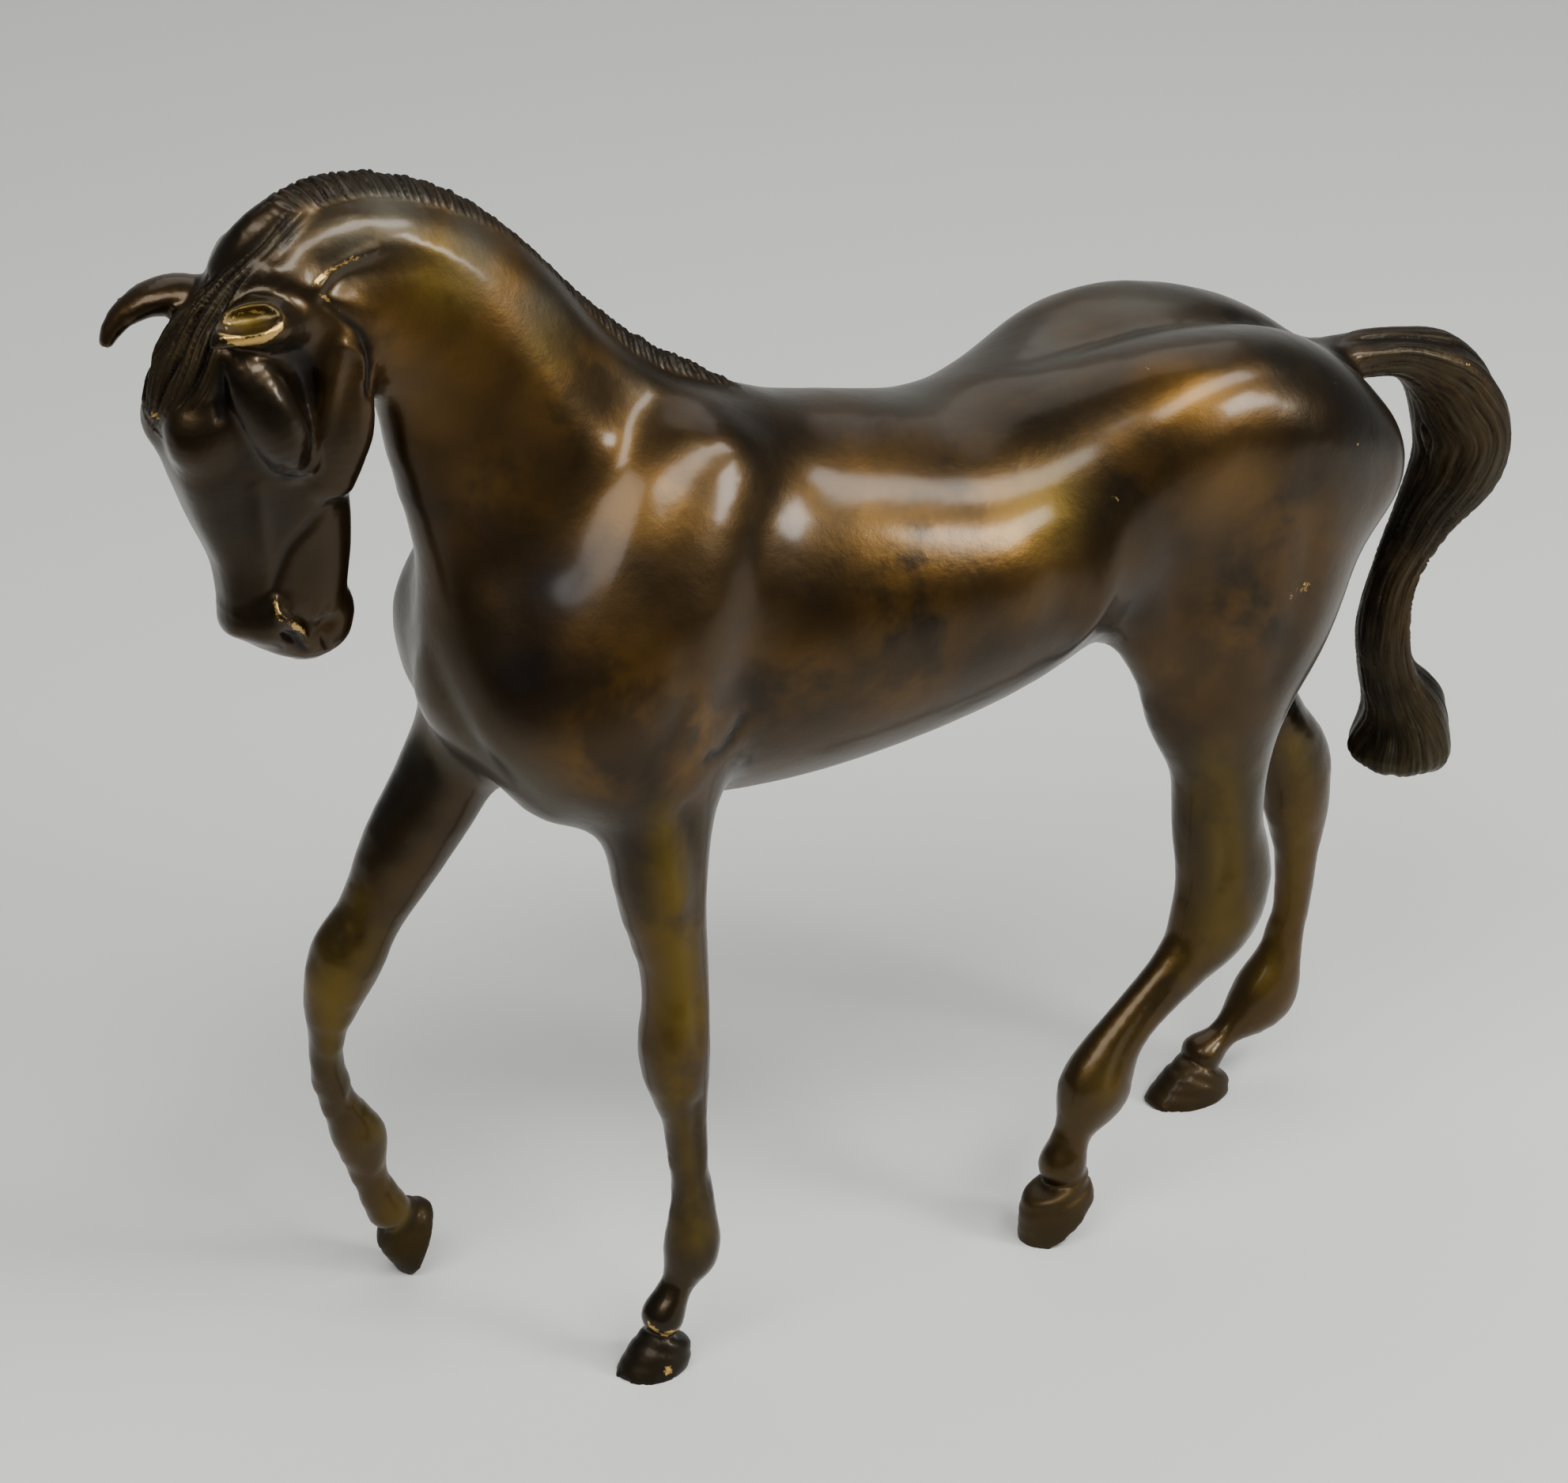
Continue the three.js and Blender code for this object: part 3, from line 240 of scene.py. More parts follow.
# Chisel strokes along the skin of both sides: rows of [x, y, z, half width, height], the last below
# zero where it is a cut.
BOTH_SIDES = {
    "hollow behind the eye": [
        [-131.8, -13.8, 246.2, 2.2, -0.46], [-128.7, -12.4, 241.8, 2.4, -1.03],
        [-126.9, -12.5, 236.2, 2.4, -1.49], [-127.6, -12.6, 229.8, 2.3, -1.38],
        [-129.2, -13.5, 225.6, 2, -1.03], [-131.8, -12.4, 220.4, 1.8, -0.46],
    ],
    "front edge of the cheek": [
        [-120.8, -12.9, 244.7, 2.1, 0.48], [-123.1, -13.1, 239.2, 2.3, 1.04],
        [-125.2, -13.1, 233.1, 2.3, 1.2], [-126.9, -12.1, 224.2, 2.3, 0.96],
        [-127.4, -10.8, 218.1, 2.3, 0.64], [-124.1, -8.9, 211.1, 2, 0.24],
    ],
    "eye swelling": [
        [-140.8, -13.4, 242.3, 3.4, 0.18], [-137.3, -15, 237.4, 4, 0.42],
        [-135.1, -15.5, 231.6, 3.8, 0.45], [-133, -14.9, 226.4, 3, 0.27],
    ],
    "lower lid": [
        [-135.3, -12.8, 223.2, 0.7, 0.3], [-133.3, -12.7, 221.7, 0.8, 0.9],
        [-130.6, -13.3, 222.1, 0.7, 0.6],
    ],
    "cut under the lid": [
        [-135.1, -11.5, 221.1, 0.9, -0.25], [-132.9, -11.6, 219.7, 1.1, -0.6],
        [-129.3, -11.5, 219.4, 1, -0.35],
    ],
    "facial crest": [
        [-139, -10.2, 217.6, 2, 0.3], [-138.1, -9.3, 211.9, 2, 0.6], [-137.3, -8.2, 204.9, 1.8, 0.6],
        [-136.2, -7.8, 201.1, 1.5, 0.3],
    ],
    "crease down the face": [
        [-123.3, -8.9, 211.4, 1.2, -0.2], [-127, -8.6, 207.6, 1.4, -0.4],
        [-131.6, -8.3, 203.3, 1.4, -0.4], [-134.1, -7.7, 198.1, 1.2, -0.35],
        [-135.3, -7.4, 194.7, 1, -0.2],
    ],
    "nostril rim": [
        [-135.1, -7.6, 193.2, 0.8, 0.5], [-134.8, -8.4, 190, 0.8, 0.9], [-132.3, -8.4, 187.8, 0.8, 0.8],
        [-129.7, -7.7, 185.7, 0.8, 0.9], [-128, -6.8, 181.4, 0.8, 0.6],
    ],
    "nostril opening": [
        [-133.5, -8.3, 185.5, 0.9, -0.8], [-130.7, -7.2, 182.8, 1.1, -1.6],
        [-128.5, -6.4, 179.7, 1, -1],
    ],
    "mouth slit": [
        [-123.8, -7.3, 189.2, 0.6, -0.5], [-124.1, -7.2, 186, 0.7, -0.9],
        [-124.2, -6.5, 181.8, 0.7, -0.9], [-122.9, -5.1, 178.7, 0.6, -0.6],
    ],
    "ridge behind the poll": [
        [-124.5, -12.5, 256.9, 1.2, 0.4], [-120.9, -11.7, 259.4, 1.3, 0.56],
        [-115.4, -11.4, 261.4, 1.4, 0.56], [-108.2, -11.3, 262.2, 1.5, 0.48],
        [-101.2, -11.4, 260.1, 1.5, 0.4], [-95.2, -11.6, 257, 1.5, 0.32],
        [-88.7, -12.3, 251.6, 1.5, 0.16],
    ],
    "hollow under that ridge": [
        [-122.3, -12.6, 255.4, 2.2, -0.4], [-118.6, -11.9, 257.8, 2.4, -0.7],
        [-113.2, -11.9, 258.2, 2.6, -0.7], [-107.6, -11.9, 259, 2.6, -0.6],
        [-101.1, -12, 257.2, 2.6, -0.4],
    ],
    "cut between jaw and neck": [
        [-124.2, -12.8, 253.8, 1, -0.3], [-119.8, -12.7, 249.7, 1.1, -0.6],
        [-116.5, -12.6, 245.8, 1.2, -0.84], [-115.3, -12.7, 240.2, 1.2, -0.96],
        [-115.2, -13.6, 234.5, 1.2, -0.96],
    ],
    "upper edge of the jaw": [
        [-120.8, -12.9, 244.7, 1, 0.4], [-116.7, -12.8, 241.7, 1, 0.7], [-116.4, -13.3, 237.4, 1, 0.5],
    ],
    "front edge of the shoulder blade": [
        [-53, -19.1, 216.3, 4, 0.17], [-61.7, -23.6, 209, 4.5, 0.46], [-70.6, -26.9, 198.3, 5, 0.55],
        [-78.7, -29.5, 185.9, 5, 0.46], [-85.5, -29.4, 173.7, 4.5, 0.21],
    ],
    "hollow before the blade": [
        [-62.3, -19.2, 213.5, 5.5, -0.11], [-72.4, -22, 203.8, 6.6, -0.31],
        [-82, -23.2, 191, 6.6, -0.36], [-88.9, -23.9, 179, 6.6, -0.23],
    ],
    "hollow behind the shoulder": [
        [-31.2, -25.1, 203.7, 5, -0.4], [-39.1, -31, 195.4, 5, -0.8], [-43.2, -34.3, 178.5, 5, -0.8],
        [-43.3, -32.2, 162, 4, -0.48],
    ],
    "triceps": [[-53.6, -36.1, 179.5, 8, 0.8], [-57.2, -36.1, 166.7, 8, 0.9]],
    "fold at the elbow": [
        [-56.7, -35, 151.5, 1.2, -0.4], [-52.1, -33.5, 150.9, 1.3, -0.9],
        [-46.7, -31.6, 152.7, 1.4, -1], [-43.1, -31.6, 158.1, 1.6, -0.5],
    ],
    "flank fold": [
        [44.8, -34.2, 186.7, 3.5, 0.3], [41.8, -35.3, 173.7, 3.5, 0.8], [39.4, -33.7, 162.7, 3, 1],
        [34.4, -30.9, 154.7, 3, 0.5],
    ],
    "hollow of the flank": [[28.9, -35.5, 179.9, 7, -0.8], [29.5, -36.6, 167.8, 5, -1]],
    "stifle": [[55, -26.8, 155.1, 5, 0.8], [60.5, -23.9, 141.7, 4.5, 0.5]],
    "thigh groove": [
        [55.8, -35.6, 183.5, 4, -0.4], [60.1, -32.9, 169.2, 4, -0.9], [64.7, -30.9, 152.9, 4, -0.9],
        [71.9, -30.5, 136.2, 4, -0.4],
    ],
    "groove of the buttock": [
        [90.3, -37.2, 186.7, 4, -0.3], [92.8, -36.3, 171.3, 4, -0.7], [90.3, -35.6, 152.9, 4, -0.7],
        [86, -33.8, 138.3, 3, -0.4],
    ],
    "jugular groove": [
        [-99.5, -10.9, 219.9, 6, -0.5], [-92.6, -13.3, 199.6, 6, -0.9], [-90, -21, 183.2, 6, -0.9],
        [-88.1, -27.8, 169.9, 5, -0.4],
    ],
    "neck muscle": [
        [-93.4, -13.8, 242.8, 8, 0.7], [-77.5, -15.5, 227.5, 9, 0.9], [-62.8, -17.4, 215.5, 8, 0.5],
    ],
    "hollow under the crest": [
        [-97, -9.2, 263, 5, -0.42], [-83.1, -11.1, 251.6, 6, -0.6], [-70, -11.6, 236.6, 6, -0.48],
        [-54.1, -11.2, 221.9, 6, -0.24],
    ],
    "line of the breast": [
        [-100.5, -3.8, 171.9, 3, -0.4], [-98.7, -10.7, 162, 3, -0.8], [-93.7, -16, 151.6, 3, -0.8],
        [-88.1, -18.6, 144.5, 3, -0.4],
    ],
}

# The same on the near side alone, which is the one that the photograph shows.
NEAR_SIDE = {
    "hollow before the eye": [
        [-144.6, -11.7, 244, 1.3, -0.6], [-145, -11.1, 238.3, 1.6, -1.2],
        [-145.6, -11.3, 234.3, 1.4, -0.8],
    ],
    "fold above the forearm": [
        [-63.9, -36.7, 159.5, 3, -0.5], [-59.4, -36.6, 167.2, 3, -0.8], [-61.2, -37.2, 174.9, 3, -0.5],
    ],
    "furrow along the croup": [
        [42, 0, 208.8, 4.5, -0.6], [59, 0, 211.6, 5, -1.4], [75, 0, 212.4, 5, -1.8],
        [97, 0, 209.4, 5, -1.7], [112, 0, 204, 4.5, -1.1], [124, 0, 200, 4, -0.5],
    ],
    "forearm edge": [
        [-64.3, -33.5, 140.5, 2.4, 0.5], [-61.9, -32.2, 127, 2.4, 0.8], [-59.3, -30.8, 111.2, 2.2, 0.6],
        [-57.7, -29.3, 97, 2, 0.3],
    ],
    "forearm groove": [
        [-57.8, -33.3, 140.9, 2, -0.4], [-55, -31.5, 126.9, 2, -0.7], [-54.2, -30.1, 113.3, 1.8, -0.5],
    ],
    "knee": [[-57.6, -29.2, 89.8, 3, 0.5], [-58.6, -29.7, 80.6, 3, 0.4]],
    "dents of the knee": [[-54.2, -29.2, 93.5, 1.5, -0.5], [-53.6, -29.6, 83.6, 1.5, -0.5]],
    "fore tendon groove": [
        [-54, -28.4, 67.5, 1.2, -0.4], [-53, -26.9, 54.8, 1.3, -0.8], [-52, -26.8, 42.9, 1.2, -0.6],
    ],
    "point of the hock": [[83.4, -26.5, 85.5, 3, 0.5], [87.6, -26.1, 74.2, 3, 0.6]],
    "groove before the hock tendon": [
        [76.1, -25.9, 108.6, 1.6, -0.4], [80.6, -26.7, 96.1, 1.6, -0.8], [80.5, -25.7, 85.8, 1.5, -0.5],
    ],
    "hind tendon groove": [
        [67.9, -22.6, 61.7, 1.2, -0.4], [58.6, -23.2, 50.3, 1.3, -0.8], [53.8, -24.5, 41.9, 1.2, -0.5],
    ],
}

# Places of the patina: [x, y, z, reach, strength], on both sides where they lie off the middle.
PATINA = {
    "amber": [
        [-106, -12.6, 247.7, 12, 1], [-93.3, -14, 238.1, 12, 1], [-77.5, -15.5, 227.5, 12, 0.9],
        [-84.2, -9.8, 254.7, 9, 0.8], [-98.6, -11.8, 257.7, 9, 1], [-64.7, -11.5, 229.1, 9, 0.8],
        [-91.2, -14.3, 209.9, 12, 0.8], [-99.2, -11.6, 226.6, 10, 0.7], [-74.7, -36.1, 173.5, 12, 1],
        [-58.8, -35.8, 158.9, 10, 1], [-7.6, -35.8, 180.4, 16, 0.9], [19.2, -35.4, 181.7, 12, 0.8],
        [-32.5, -34.3, 167.5, 12, 0.6], [70.8, -36.9, 189.9, 13, 0.7], [84.1, -36.6, 176.7, 10, 0.5],
        [-79.3, -34.8, 167, 10, 1], [-75.4, -36.3, 170.6, 9, 1], [-78.2, -33.9, 155.8, 10, 0.9],
        [-69.7, -37.5, 166.5, 9, 0.8], [-7.6, -36.2, 160.4, 12, 0.5], [66.7, -29, 141.7, 9, 0.5],
        [62, -31, 207.6, 10, 0.9], [49, -33.7, 193.3, 8, 0.6], [-6.5, -17.3, 205, 8, 0.4],
        [-59.5, -27.7, 205, 8, 0.5], [74.6, -34.4, 155.8, 12, 0.6],
    ],
    # Olive patina; the spots down the fronts of the legs are a painted highlight.
    "olive": [
        [-61.9, -32.3, 128.7, 5, 1], [-59.3, -30.8, 111.2, 6, 1], [-57.2, -29.3, 89.6, 7, 1],
        [-58.9, -28.7, 72.8, 6, 1], [-53.8, -27.1, 35.6, 6, 0.7], [81.2, -25.8, 75.8, 9, 0.6],
        [70.1, -22.4, 64.9, 7, 0.3], [59.8, -22.5, 53.8, 7, 0.3], [52.9, -24.5, 41.9, 6, 0.5],
        [-111.1, 22.7, 98.1, 8, 0.9], [-114.1, 23.7, 85, 8, 0.9], [-100.4, 32.9, 45.8, 7, 0.8],
        [-93.5, 34.5, 12.5, 7, 0.9], [28.8, -32.3, 187.7, 9, 0.5], [76, -26.2, 110.6, 9, 0.5],
        [-98.8, -12.4, 254.6, 8, 0.8], [-141, -16.5, 253.5, 4.5, 1], [-76, -13.1, 238.2, 6, 0.6],
        [128.2, 13.6, 92.3, 6, 0.5],
    ],
    # Painted sheen: a grey reflection on the upper planes of crest, back and croup, on the chest and on
    # the face.
    "painted_sheen": [
        [-105.6, -6.4, 268.4, 9, 1], [-90.1, -8.6, 260.1, 8, 0.9], [-74.3, -10.3, 245.1, 8, 0.7],
        [-117.4, -10.4, 265, 9, 0.6], [-56.6, -9, 226.8, 8, 0.5], [13.3, 0.2, 206, 12, 0.6],
        [45.8, 5.6, 209.4, 12, 0.7], [78.8, 9.9, 213.2, 12, 0.7], [90.4, -18.5, 212.5, 10, 0.5],
        [-90.6, -16.6, 146.8, 12, 0.7], [-100, -7.7, 164.7, 10, 0.5], [-147.9, -2.7, 213.2, 8, 0.4],
    ],
    # Painted shade at the root of the neck, under the throat, in the creases of the body, behind the eye
    # and down the inner face of the tail; the last four spots darken the hooves.
    "dark_patina_and_shade": [
        [-83.4, -22.2, 190.8, 11, 0.95], [-90.1, -24.5, 174.3, 10, 0.95],
        [-101.4, -6.4, 205.5, 8, 0.45], [53.2, -29.3, 160.2, 7, 0.52], [30.6, -30.7, 152.6, 8, 0.39],
        [-137.3, -15.2, 235.3, 5, 0.39], [57.5, -34.1, 173.8, 6, 0.33], [-32.8, -31.1, 190.6, 5, 0.33],
        [-42.5, -32.5, 163.5, 5, 0.45], [147.9, -1.4, 175.6, 6, 0.7], [149.7, 3.8, 164.9, 6, 0.7],
        [146.2, 0.4, 157.5, 6, 0.7], [142, -0.7, 148.7, 5, 0.7], [137.7, -1.5, 140.4, 4.5, 0.7],
        [135.6, -1.9, 132.7, 4, 0.7], [135.3, -2.1, 124, 4, 0.6], [138.1, -3.8, 111.3, 5, 0.6],
        [139.5, -4.1, 100.9, 6, 0.6], [44.8, -17.4, 7, 10, 0.5], [105.4, 21.4, 5, 11, 0.55],
        [-89, 40.2, 8, 9, 0.3], [-63, -22.8, 5, 9, 0.45],
    ],
    "brass": [
        [-155.6, 13.8, 250.3, 1.6, 0.5], [-61.9, -29.2, 4.4, 1.8, 0.7], [78.5, -33.5, 205.5, 1.2, 0.6],
        [82.1, -36.2, 197.6, 1.2, 0.7], [102, -28.7, 203.2, 3, 0.4], [43.3, -33.6, 188.7, 1.1, 1],
        [91.9, -35.8, 159.1, 3.4, 0.5], [88.6, -35.9, 157.5, 2.4, 0.5], [95.8, -35.3, 160, 4, 0.34],
        [84, -31, 207, 6, 0.26], [92, -29, 206, 6, 0.28], [74, -32, 208, 5, 0.24],
        [57.4, -23.1, 211.3, 1.5, 0.5], [64.9, -26.5, 211.8, 1.2, 0.5], [105.8, -33.9, 189.7, 1.5, 0.6],
        [109.8, -33, 185.9, 1.2, 0.6],
    ],
}

# Painted highlight in golden olive down the fronts of the legs: half width, strength at the end.
LEG_HIGHLIGHTS = {
    "near foreleg": [
        [-64, -32.8, 142, 3.5, 0.6], [-61.9, -32.3, 128.7, 4, 1], [-59.3, -30.8, 111.2, 4.5, 1],
        [-57.4, -29.6, 89.6, 5, 1], [-58.5, -28.7, 74, 4.5, 0.9], [-56.5, -28, 60, 3, 0.6],
        [-53.8, -27.1, 38, 4, 0.8],
    ],
    "far foreleg": [
        [-107.5, 22.6, 107, 4, 0.7], [-111.1, 22.7, 98.1, 5, 0.9], [-114.1, 23.7, 85, 5, 0.9],
        [-111.5, 27, 64, 4, 0.7], [-100.4, 32.9, 45.8, 4, 0.8], [-95, 36, 15, 5, 0.8],
    ],
    "near hind leg": [
        [76, -27, 122, 5, 0.5], [80.5, -26.2, 100, 5, 0.6], [81.2, -25.8, 80, 5, 0.6],
        [70.1, -22.4, 64.9, 4.5, 0.4], [59.8, -22.5, 53.8, 4, 0.4], [52.9, -24.5, 41.9, 4, 0.5],
    ],
    "far hind leg": [
        [127, 13.6, 96, 4, 0.6], [132, 16, 75, 4, 0.6], [130, 17, 50, 4, 0.6], [124, 17, 30, 4, 0.6],
    ],
}

# Edges that are rubbed to bare metal, in the same rows.
RUBBED = {
    "lower rim of the near ear": [
        [-147, -18, 252.9, 0.9, 0.9], [-145.6, -20, 252.3, 1.2, 1], [-142.8, -19.8, 251, 1.4, 1],
        [-139.5, -19.7, 251.1, 1.4, 1], [-137.1, -19.3, 252.1, 1.2, 0.9], [-135, -18.4, 252.8, 1, 0.7],
    ],
    "upper rim of the near ear": [
        [-145, -15.3, 252.9, 0.8, 0.7], [-142.7, -13.6, 254.1, 0.8, 0.6],
        [-140, -13.3, 254.9, 0.8, 0.6], [-137, -14.2, 254.6, 0.8, 0.6],
    ],
    "edge behind the poll": [
        [-126.3, -12.6, 257.1, 0.8, 0.7], [-123, -12.1, 259.1, 0.9, 0.7],
        [-118, -11.6, 260.8, 0.9, 0.6], [-113, -11.5, 261.6, 0.8, 0.45],
        [-106, -11.4, 261.5, 0.8, 0.35],
    ],
    "edge below the ear": [
        [-125, -12.8, 256, 0.7, 0.6], [-121.6, -12.9, 252.4, 0.7, 0.5],
        [-119.2, -12.9, 249.4, 0.6, 0.5], [-116.3, -12.7, 246.2, 0.6, 0.5],
    ],
    "edge of the jaw": [
        [-121.6, -13.1, 244.8, 0.7, 0.6], [-119.7, -13.1, 243.3, 0.7, 0.6],
        [-116.5, -12.8, 240.5, 0.6, 0.4],
    ],
    "lower lid": [
        [-134.6, -12.7, 222, 0.7, 0.6], [-132.9, -13.2, 222.1, 0.8, 0.8],
        [-130.3, -13.1, 221.6, 0.7, 0.7],
    ],
    "tip of the forelock": [
        [-153.8, 4.6, 232.8, 1, 0.5], [-154.2, 0, 232.2, 1.2, 0.6], [-152.6, -5, 232.6, 1.2, 0.6],
        [-150, -9, 234.4, 1, 0.5],
    ],
    "nostril": [
        [-135.2, -8, 193.4, 0.7, 0.5], [-134.8, -8.5, 190, 0.9, 0.8], [-132, -8.4, 187.4, 0.9, 0.8],
        [-129.3, -7.5, 184.6, 0.9, 0.7], [-127.9, -6.9, 182, 0.8, 0.6],
    ],
    "tip of the far ear": [[-157.4, 13.2, 247.4, 0.7, 0.5], [-158.6, 13.6, 243.6, 0.7, 0.5]],
    "coronet of the near forefoot": [
        [-65.4, -23.9, 15.8, 1.2, 0.8], [-62.3, -27, 12.2, 1.5, 0.8], [-57.7, -27, 12.7, 1.3, 0.7],
    ],
}


def unit(v):
    return v / np.linalg.norm(v, axis=-1, keepdims=True)


def smoothstep(lo, hi, v):
    t = np.clip((v - lo) / (hi - lo), 0, 1)
    return t * t * (3 - 2 * t)


def bell(v):
    """1 at 0, falling away smoothly on both sides."""
    return np.exp(-v ** 2)


def smooth_rows(rows, steps=ROW_STEPS):
    """A smooth curve through the rows, with every column interpolated alike."""
    r = np.array(rows, float)
    out = []
    for i in range(len(r) - 1):
        a, b, c, d = r[max(i - 1, 0)], r[i], r[i + 1], r[min(i + 2, len(r) - 1)]
        for s in range(steps):
            t = s / steps
            out.append(0.5 * (2 * b + (c - a) * t + (2 * a - 5 * b + 4 * c - d) * t * t
                              + (3 * b - a - 3 * c + d) * t ** 3))
    out.append(r[-1])
    return np.array(out)


def melt(a, b, k):
    """Two skins melt into one over the width k."""
    h = np.maximum(k - np.abs(a - b), 0) / k
    return np.minimum(a, b) - h * h * k * 0.25


def meet(a, b, k):
    """What two masses share, its edge rounded over the width k."""
    return -melt(-a, -b, k)


def dig(a, b, k):
    """The first mass with the second taken out of it."""
    return meet(a, -b, k)


def egg(a, b, c, ra, rb, rc, square=2):
    """First-order distance to an oval with half axes ra, rb, rc. Above 2 its shoulders square."""
    if square == 2:
        qa, qb, qc = a / ra, b / rb, c / rc
        q = np.sqrt(qa * qa + qb * qb + qc * qc)
        slope = np.sqrt((qa / ra) ** 2 + (qb / rb) ** 2 + (qc / rc) ** 2) + TINY
        return q * (q - 1) / slope
    qa, qb, qc = np.abs(a) / ra, np.abs(b) / rb, np.abs(c) / rc
    q = (qa ** square + qb ** square + qc ** square) ** (1 / square) + TINY
    slope = sum(((v / q) ** (square - 1) / r) ** 2 for v, r in ((qa, ra), (qb, rb), (qc, rc)))
    return (q - 1) / np.sqrt(slope)


def fold(pts):
    """The points with those of the near side mirrored to the far one."""
    return pts * [1, 0, 1] + np.abs(pts) * [0, 1, 0]


class Mass:
    """A lump of clay, with the middle and the reach of each of its segments."""

    def __init__(self, mid, hold, mirrored=False):
        self.mid, self.hold, self.mirrored = mid, hold, mirrored

    def near(self, centre, radius):
        """The segments that still count for a block of points."""
        c = fold(centre) if self.mirrored else centre
        away = np.linalg.norm(self.mid - c, axis=1) - self.hold
        return np.flatnonzero(away < radius + REACH)


class Sweep(Mass):
    """A mass swept along its rows with an uneven oval section."""

    def __init__(self, rows, mirrored=False, cap=FAR, across=(0, 1, 0), square=2, steps=ROW_STEPS):
        p = smooth_rows(rows, steps)
        run = np.diff(p[:, :3], axis=0)
        self.length = np.linalg.norm(run, axis=1)
        self.t = run / self.length[:, None]
        side = np.array(across, float)
        self.s = unit(side - self.t * (self.t @ side)[:, None])
        self.n = np.cross(self.s, self.t)
        self.start = p[:-1, :3]
        self.r0, self.r1 = p[:-1, 3:6], p[1:, 3:6]
        self.along = np.concatenate([[0], np.cumsum(self.length)])
        self.cap, self.square = cap, square
        super().__init__((p[:-1, :3] + p[1:, :3]) / 2,
                         self.length / 2 + np.maximum(self.r0.max(1), self.r1.max(1)), mirrored)

    def local(self, pts, pick):
        """Sideways, frontward and lengthwise offsets, and the share along each segment."""
        if self.mirrored:
            pts = fold(pts)
        base = self.start[pick]
        u, v, w = (pts @ way[pick].T - (base * way[pick]).sum(1) for way in (self.s, self.n, self.t))
        share = np.clip(w / self.length[pick], 0, 1)
        return u, v, w - share * self.length[pick], share

    def reach(self, pts, pick):
        u, v, w, share = self.local(pts, pick)
        r0, r1 = self.r0[pick], self.r1[pick]
        ru, front, back = (r0[:, i] + (r1[:, i] - r0[:, i]) * share for i in range(3))
        rv = np.where(v > 0, front, back)
        rw = np.minimum(np.minimum(ru, rv), self.cap)
        return egg(u, v, w, ru, rv, rw, self.square).min(1)

    def gap(self, pts):
        """Distance to the whole mass."""
        return self.reach(pts, np.arange(len(self.length)))

    def read(self, pts):
        """Distance run along the mass, and the sideways and frontward shares of its section."""
        u, v, w, share = self.local(pts, np.arange(len(self.length)))
        best = (u * u + v * v + w * w).argmin(1)
        row = np.arange(len(pts))
        k = share[row, best]
        r = self.r0[best] + (self.r1[best] - self.r0[best]) * k[:, None]
        uu, vv = u[row, best], v[row, best]
        run = self.along[best] + k * self.length[best]
        return run, uu / r[:, 0], vv / np.where(vv > 0, r[:, 1], r[:, 2])


class Ball(Mass):
    """An egg-shaped lump."""

    def __init__(self, centre, radii, mirrored=False):
        self.radii = radii
        super().__init__(np.array([centre], float), max(radii), mirrored)

    def reach(self, pts, _pick):
        d = (fold(pts) if self.mirrored else pts) - self.mid[0]
        return egg(d[:, 0], d[:, 1], d[:, 2], *self.radii)


class Hoof(Mass):
    """A leaning oval cone between its sole and the coronet."""

    def __init__(self, centre, toward, up, length, width, height):
        self.u = unit(np.array(up, float))
        toward = np.array(toward, float)
        self.f = unit(toward - self.u * (toward @ self.u))
        self.s = np.cross(self.u, self.f)
        self.size = (length, width, height)
        super().__init__(np.array([centre], float), length + height)

    def local(self, pts):
        d = pts - self.mid[0]
        return d @ self.f, d @ self.s, d @ self.u

    def above_crown(self, front, up):
        """Height over the coronet, which slopes down toward the heel."""
        return up - self.size[2] - HOOF_SLOPE * front

    def reach(self, pts, _pick):
        length, width, _ = self.size
        front, side, up = self.local(pts)
        shrink = 1 - HOOF_TAPER * np.maximum(up, -2)
        q = np.hypot((front + HOOF_LEAN * up) / (length * shrink), side / (width * shrink))
        wall = (q - 1) * width * shrink * 0.9
        crown = self.above_crown(front, up) * 0.94
        return meet(meet(wall, crown, 2.5), -up, 1.2)


TAIL_MASS = Sweep(TAIL, cap=4.5)
MANE_MASS = Sweep(MANE)
FORELOCK_MASS = Sweep(FORELOCK, cap=3, across=(-0.4, 1, 0))
# Middle of the sole, which way the toe and the top point, length, width and height.
HOOVES = [
    Hoof([-63, -22.8, 1.2], [-1, -0.08, 0], [0, 0, 1], 8.6, 7, 9.3),
    Hoof([-89, 40.2, 8.6], [-0.35, 0.1, -0.93], [-0.93, 0.1, 0.35], 9.8, 6.8, 9.5),
    Hoof([44.8, -17.4, 5.4], [-0.8, 0, -0.6], [-0.6, 0, 0.8], 11.6, 7.9, 10),
    Hoof([105.4, 21.4, 0.8], [-1, 0, 0.1], [0.1, 0, 1], 11.2, 7.8, 10),
]
